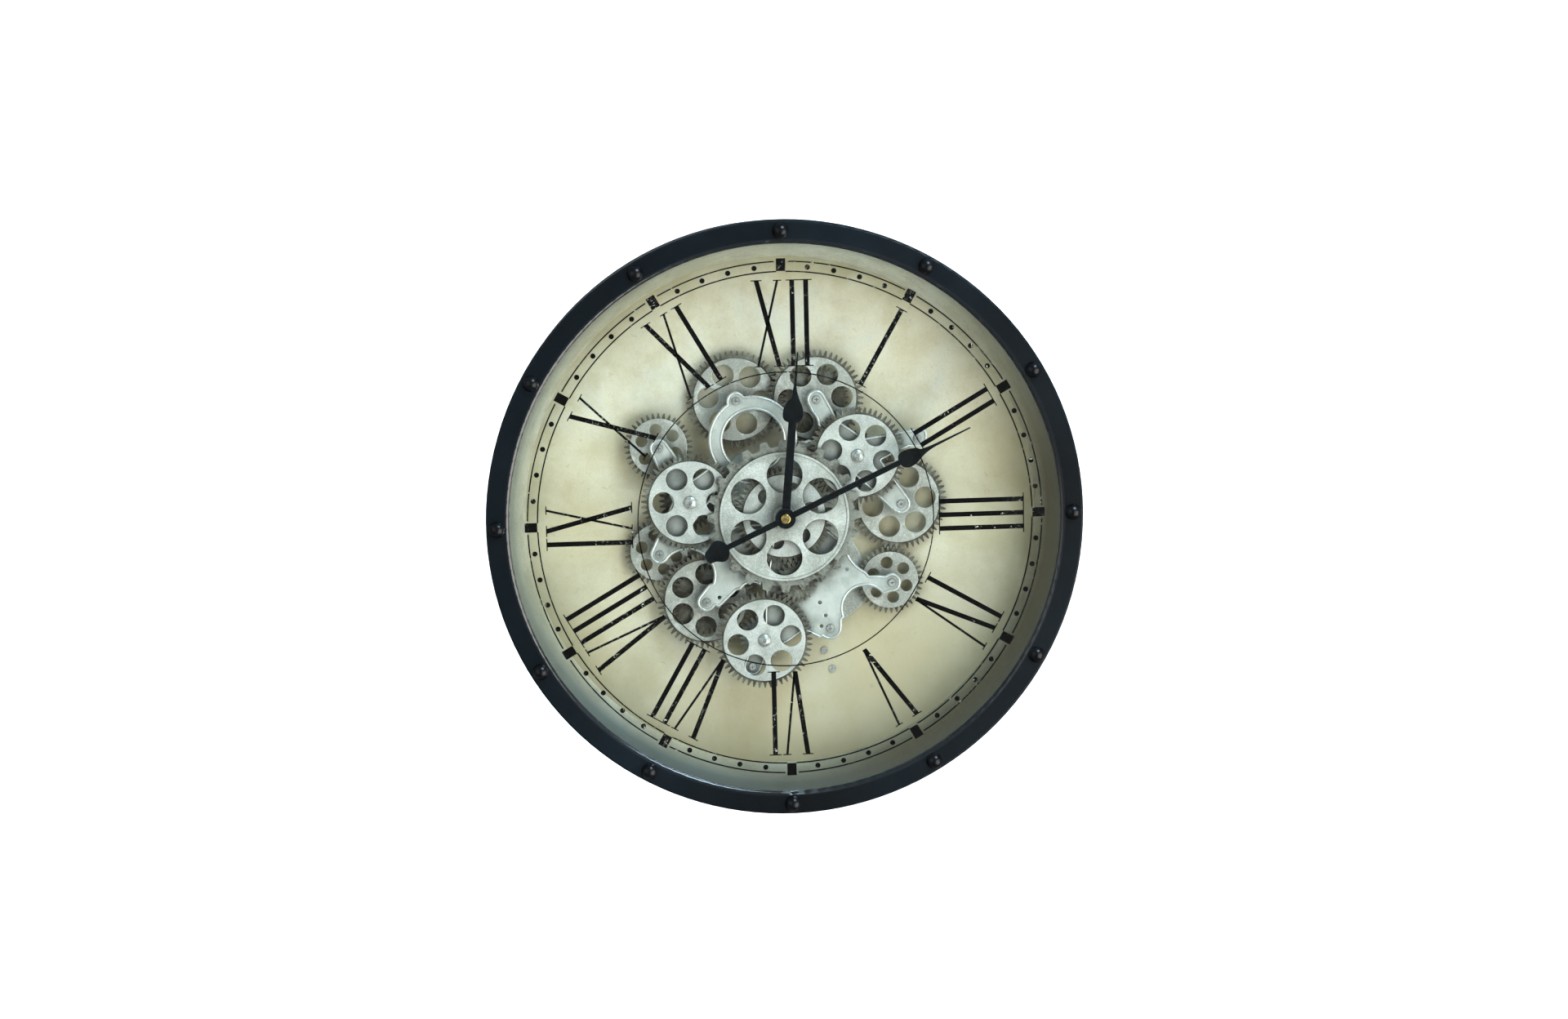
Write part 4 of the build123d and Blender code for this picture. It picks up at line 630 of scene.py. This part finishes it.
def front_borders(node):
    """The closed outlines of a plate's front face: (corner, way into the plate) pairs, loop by loop."""
    form = bmesh.new()
    form.from_mesh(NODES[node].data)
    bmesh.ops.remove_doubles(form, verts=form.verts, dist=0.02 * MM)
    form.verts.index_update()
    front_y = min(corner.co.y for corner in form.verts)
    cap = {face for face in form.faces if face.calc_center_median().y < front_y + 0.01 * MM}
    follow = {}
    for face in form.faces:
        if face not in cap:
            continue
        for loop in face.loops:
            if sum(other in cap for other in loop.edge.link_faces) == 1:
                follow[loop.vert.index] = loop.link_loop_next.vert.index
    form.verts.ensure_lookup_table()
    borders = []
    while follow:
        start = min(follow)
        corner = follow.pop(start)
        ring = [start]
        while corner in follow:
            ring.append(corner)
            corner = follow.pop(corner)
        borders.append([form.verts[index].co.copy() for index in ring])
    form.free()
    return borders


def even_steps(ring, step):
    """The closed outline again, with corners at equal steps along it."""
    sides = [(ring[(i + 1) % len(ring)] - ring[i]).length for i in range(len(ring))]
    total = sum(sides)
    count = max(8, round(total / step))
    points, side, passed = [], 0, 0.0
    for i in range(count):
        reach = total * i / count
        while passed + sides[side] < reach:
            passed += sides[side]
            side += 1
        share = (reach - passed) / sides[side]
        points.append(ring[side].lerp(ring[(side + 1) % len(ring)], share))
    return points


def polished_border(node):
    """A raised half-round border just inside the outline of a bridge's front face."""
    points, faces = [], []
    for ring in front_borders(node):
        length = sum((ring[i] - ring[i - 1]).length for i in range(len(ring)))
        if length < SHORTEST_BORDER:
            continue
        corners = even_steps(ring, 1.0 * MM)
        count, start = len(corners), len(points)
        for i, corner in enumerate(corners):
            along = (corners[(i + 2) % count] - corners[i - 2]).normalized()
            inward = Vector((-along.z, 0, along.x))
            for inset, rise in BORDER_PROFILE:
                points.append(corner + inward * inset + Vector((0, -rise, 0)))
        size = len(BORDER_PROFILE)
        for i in range(count):
            first, second = start + i * size, start + (i + 1) % count * size
            for j in range(size):
                k = (j + 1) % size
                faces.append([first + j, second + j, second + k, first + k])
    add_piece(f"{node}_border", points, faces, BORDER, smooth=True)


for bridge in ("left_bridge", "right_bridge", "lower_bridge"):
    polished_border(bridge)


# ---------------------------------------------------------------- print on the glass
# Width taken by each letter (mm)
LETTER_WIDTH = {"I": 10.6, "V": 25.0, "X": 27.0}


def letter_strokes(letter, x):
    """Strokes of one letter centred at x, with its feet towards the dial axis."""
    foot, head = NUMERAL_FOOT, NUMERAL_HEAD
    if letter == "I":
        return [stroke(x, foot, x, head, THICK_STROKE)]
    if letter == "V":
        return [
            stroke(x + 1.2, foot, x - 7.6, head, THICK_STROKE),
            stroke(x + 1.6, foot, x + 8.6, head, THIN_STROKE),
        ]
    return [
        stroke(x + 8.0, foot, x - 8.4, head, THICK_STROKE),
        stroke(x - 8.2, foot, x + 7.6, head, THIN_STROKE),
    ]


def letter_serifs(letter, x):
    """Serifs of one letter; the I has none of its own."""
    foot, head = NUMERAL_FOOT, NUMERAL_HEAD
    if letter == "I":
        return []
    if letter == "V":
        return [serif(x - 7.6, head, 8.4), serif(x + 8.6, head, 6.4)]
    return [
        serif(x - 8.4, head, 8.4), serif(x + 7.6, head, 6.4),
        serif(x + 8.0, foot, 8.4), serif(x - 8.2, foot, 6.4),
    ]


def numeral_outlines(text):
    """The outlines of one numeral at the top of the dial; a run of I strokes shares two long serifs."""
    widths = [LETTER_WIDTH[letter] for letter in text]
    x = -sum(widths) / 2
    outlines, runs = [], []
    for letter, width in zip(text, widths):
        centre = x + width / 2
        outlines += letter_strokes(letter, centre) + letter_serifs(letter, centre)
        if letter == "I":
            if runs and abs(runs[-1][1] + LETTER_WIDTH["I"] - centre) < 0.01:
                runs[-1][1] = centre
            else:
                runs.append([centre, centre])
        x += width
    for first, last in runs:
        for z in (NUMERAL_FOOT, NUMERAL_HEAD):
            outlines.append(serif((first + last) / 2, z, last - first + 9.4))
    return outlines


PRINT_BACK = GLASS_REAR_Y + PRINT_THICKNESS + PRINT_GAP


def glass_print(name, outlines, layer=0):
    """A printed piece just behind the glass; layers keep crossing strokes from sharing a plane."""
    flat_piece(name, outlines, PRINT_BACK + layer * PRINT_GAP, PRINT_THICKNESS, PRINT)


NUMERALS = ["XII", "I", "II", "III", "IV", "V", "VI", "VII", "VIII", "IX", "X", "XI"]
for hour, text in enumerate(NUMERALS):
    shapes = [[turned_point(x, z, 30 * hour) for x, z in outline] for outline in numeral_outlines(text)]
    glass_print(f"numeral_{hour if hour else 12}", shapes)

block_angle = HOUR_BLOCK_WIDTH / TRACK_OUTER * 180 / pi
gap_angle = (HOUR_BLOCK_WIDTH / 2 + HOUR_BLOCK_GAP) / TRACK_OUTER * 180 / pi
outer_line, inner_line, blocks, dots = [], [], [], []
for hour in range(12):
    start, end = 30 * hour, 30 * hour + 30
    outer_line.append(arc_outline(TRACK_OUTER, TRACK_LINE, start + gap_angle, end - gap_angle))
    inner_line.append(arc_outline(TRACK_INNER, TRACK_LINE, start + block_angle / 2, end - block_angle / 2))
    half = HOUR_BLOCK_WIDTH / 2
    corners = [
        (-half, HOUR_BLOCK_INNER), (half, HOUR_BLOCK_INNER),
        (half, HOUR_BLOCK_OUTER), (-half, HOUR_BLOCK_OUTER),
    ]
    blocks.append([turned_point(x, z, start) for x, z in corners])
for minute in range(60):
    if minute % 5:
        x, z = turned_point(0, MINUTE_DOT_RING, 6 * minute)
        turns = [2 * pi * i / DOT_CORNERS for i in range(DOT_CORNERS)]
        dots.append([(x + MINUTE_DOT_RADIUS * cos(t), z + MINUTE_DOT_RADIUS * sin(t)) for t in turns])
glass_print("track_outer_line", outer_line)
glass_print("track_inner_line", inner_line)
glass_print("hour_blocks", blocks)
glass_print("minute_dots", dots)
glass_print("inner_circle", ring_outlines(RING_RADIUS, RING_LINE), layer=2)

# ---------------------------------------------------------------- camera
VIEW_AZIMUTH = radians(-4.0)
VIEW_ELEVATION = radians(7.3)
VIEW_DISTANCE = 2.2
VIEW_ROLL = radians(-1.3)
AIM = Vector((-0.0002, -0.054, DIAL_Z + 0.0055))
SENSOR = 36.0
LENS = 65.1

camera_data = bpy.data.cameras.new("camera")
camera_data.sensor_width = SENSOR
camera_data.lens = LENS
camera = bpy.data.objects.new("camera", camera_data)
bpy.context.scene.collection.objects.link(camera)
bearing = Vector((
    sin(VIEW_AZIMUTH) * cos(VIEW_ELEVATION),
    -cos(VIEW_AZIMUTH) * cos(VIEW_ELEVATION),
    sin(VIEW_ELEVATION),
))
camera.location = AIM + bearing * VIEW_DISTANCE
facing = (-bearing).to_track_quat("-Z", "Y").to_matrix().to_4x4()
camera.matrix_world = Matrix.Translation(camera.location) @ facing @ Matrix.Rotation(VIEW_ROLL, 4, "Z")
bpy.context.scene.camera = camera

# ---------------------------------------------------------------- stage and light
FLOOR_Z = DIAL_Z - 0.75
WALL_Y = 1.6
WALL_TOP = 6
REACH = 8
WORLD_TINT = (0.88, 0.95, 1, 1)
WORLD_STRENGTH = 0.28


def plane(name, corners, look):
    """One sheet of the stage, kept out of reflections."""
    mesh = bpy.data.meshes.new(name)
    mesh.from_pydata(corners, [], [[0, 1, 2, 3]])
    piece = bpy.data.objects.new(name, mesh)
    bpy.context.scene.collection.objects.link(piece)
    mesh.materials.append(look.material)
    piece.visible_glossy = False


STAGE = Look("stage_white", (0.93, 0.93, 0.93, 1), roughness=0.9)
front_edge = [(-REACH, -REACH, FLOOR_Z), (REACH, -REACH, FLOOR_Z)]
wall_foot = [(-REACH, WALL_Y, FLOOR_Z), (REACH, WALL_Y, FLOOR_Z)]
wall_top = [(REACH, WALL_Y, WALL_TOP), (-REACH, WALL_Y, WALL_TOP)]
plane("floor", front_edge + wall_foot[::-1], STAGE)
plane("backdrop", wall_foot + wall_top, STAGE)


def area_light(name, place, target, size, power, colour=(1, 1, 1)):
    """A rectangular light that faces a target."""
    data = bpy.data.lights.new(name, "AREA")
    data.shape = "RECTANGLE"
    data.size, data.size_y = size
    data.energy = power
    data.color = colour
    lamp = bpy.data.objects.new(name, data)
    bpy.context.scene.collection.objects.link(lamp)
    lamp.location = place
    lamp.rotation_euler = (Vector(target) - Vector(place)).to_track_quat("-Z", "Y").to_euler()
    return lamp


CLOCK = (0, 0, DIAL_Z)
area_light("key", (2.0, -1.9, DIAL_Z - 0.8), CLOCK, (2.8, 2.8), 150, (1.0, 0.965, 0.905))
area_light("window", (1.2, -1.6, 2.0), CLOCK, (1.2, 1.2), 112, (0.62, 0.83, 1.0))
area_light("fill", (-2.2, -2.4, 0.4), CLOCK, (3.0, 3.0), 26, (1.0, 0.98, 0.94))
backdrop_wash = area_light("backdrop_wash", (0, -0.2, 2.4), (0, WALL_Y, 0), (4.0, 0.6), 170)
backdrop_wash.visible_glossy = False

world = bpy.data.worlds.new("world")
bpy.context.scene.world = world
world.use_nodes = True
sky = world.node_tree.nodes["Background"]
sky.inputs[0].default_value = WORLD_TINT
sky.inputs[1].default_value = WORLD_STRENGTH
bpy.context.scene.view_settings.view_transform = "Standard"
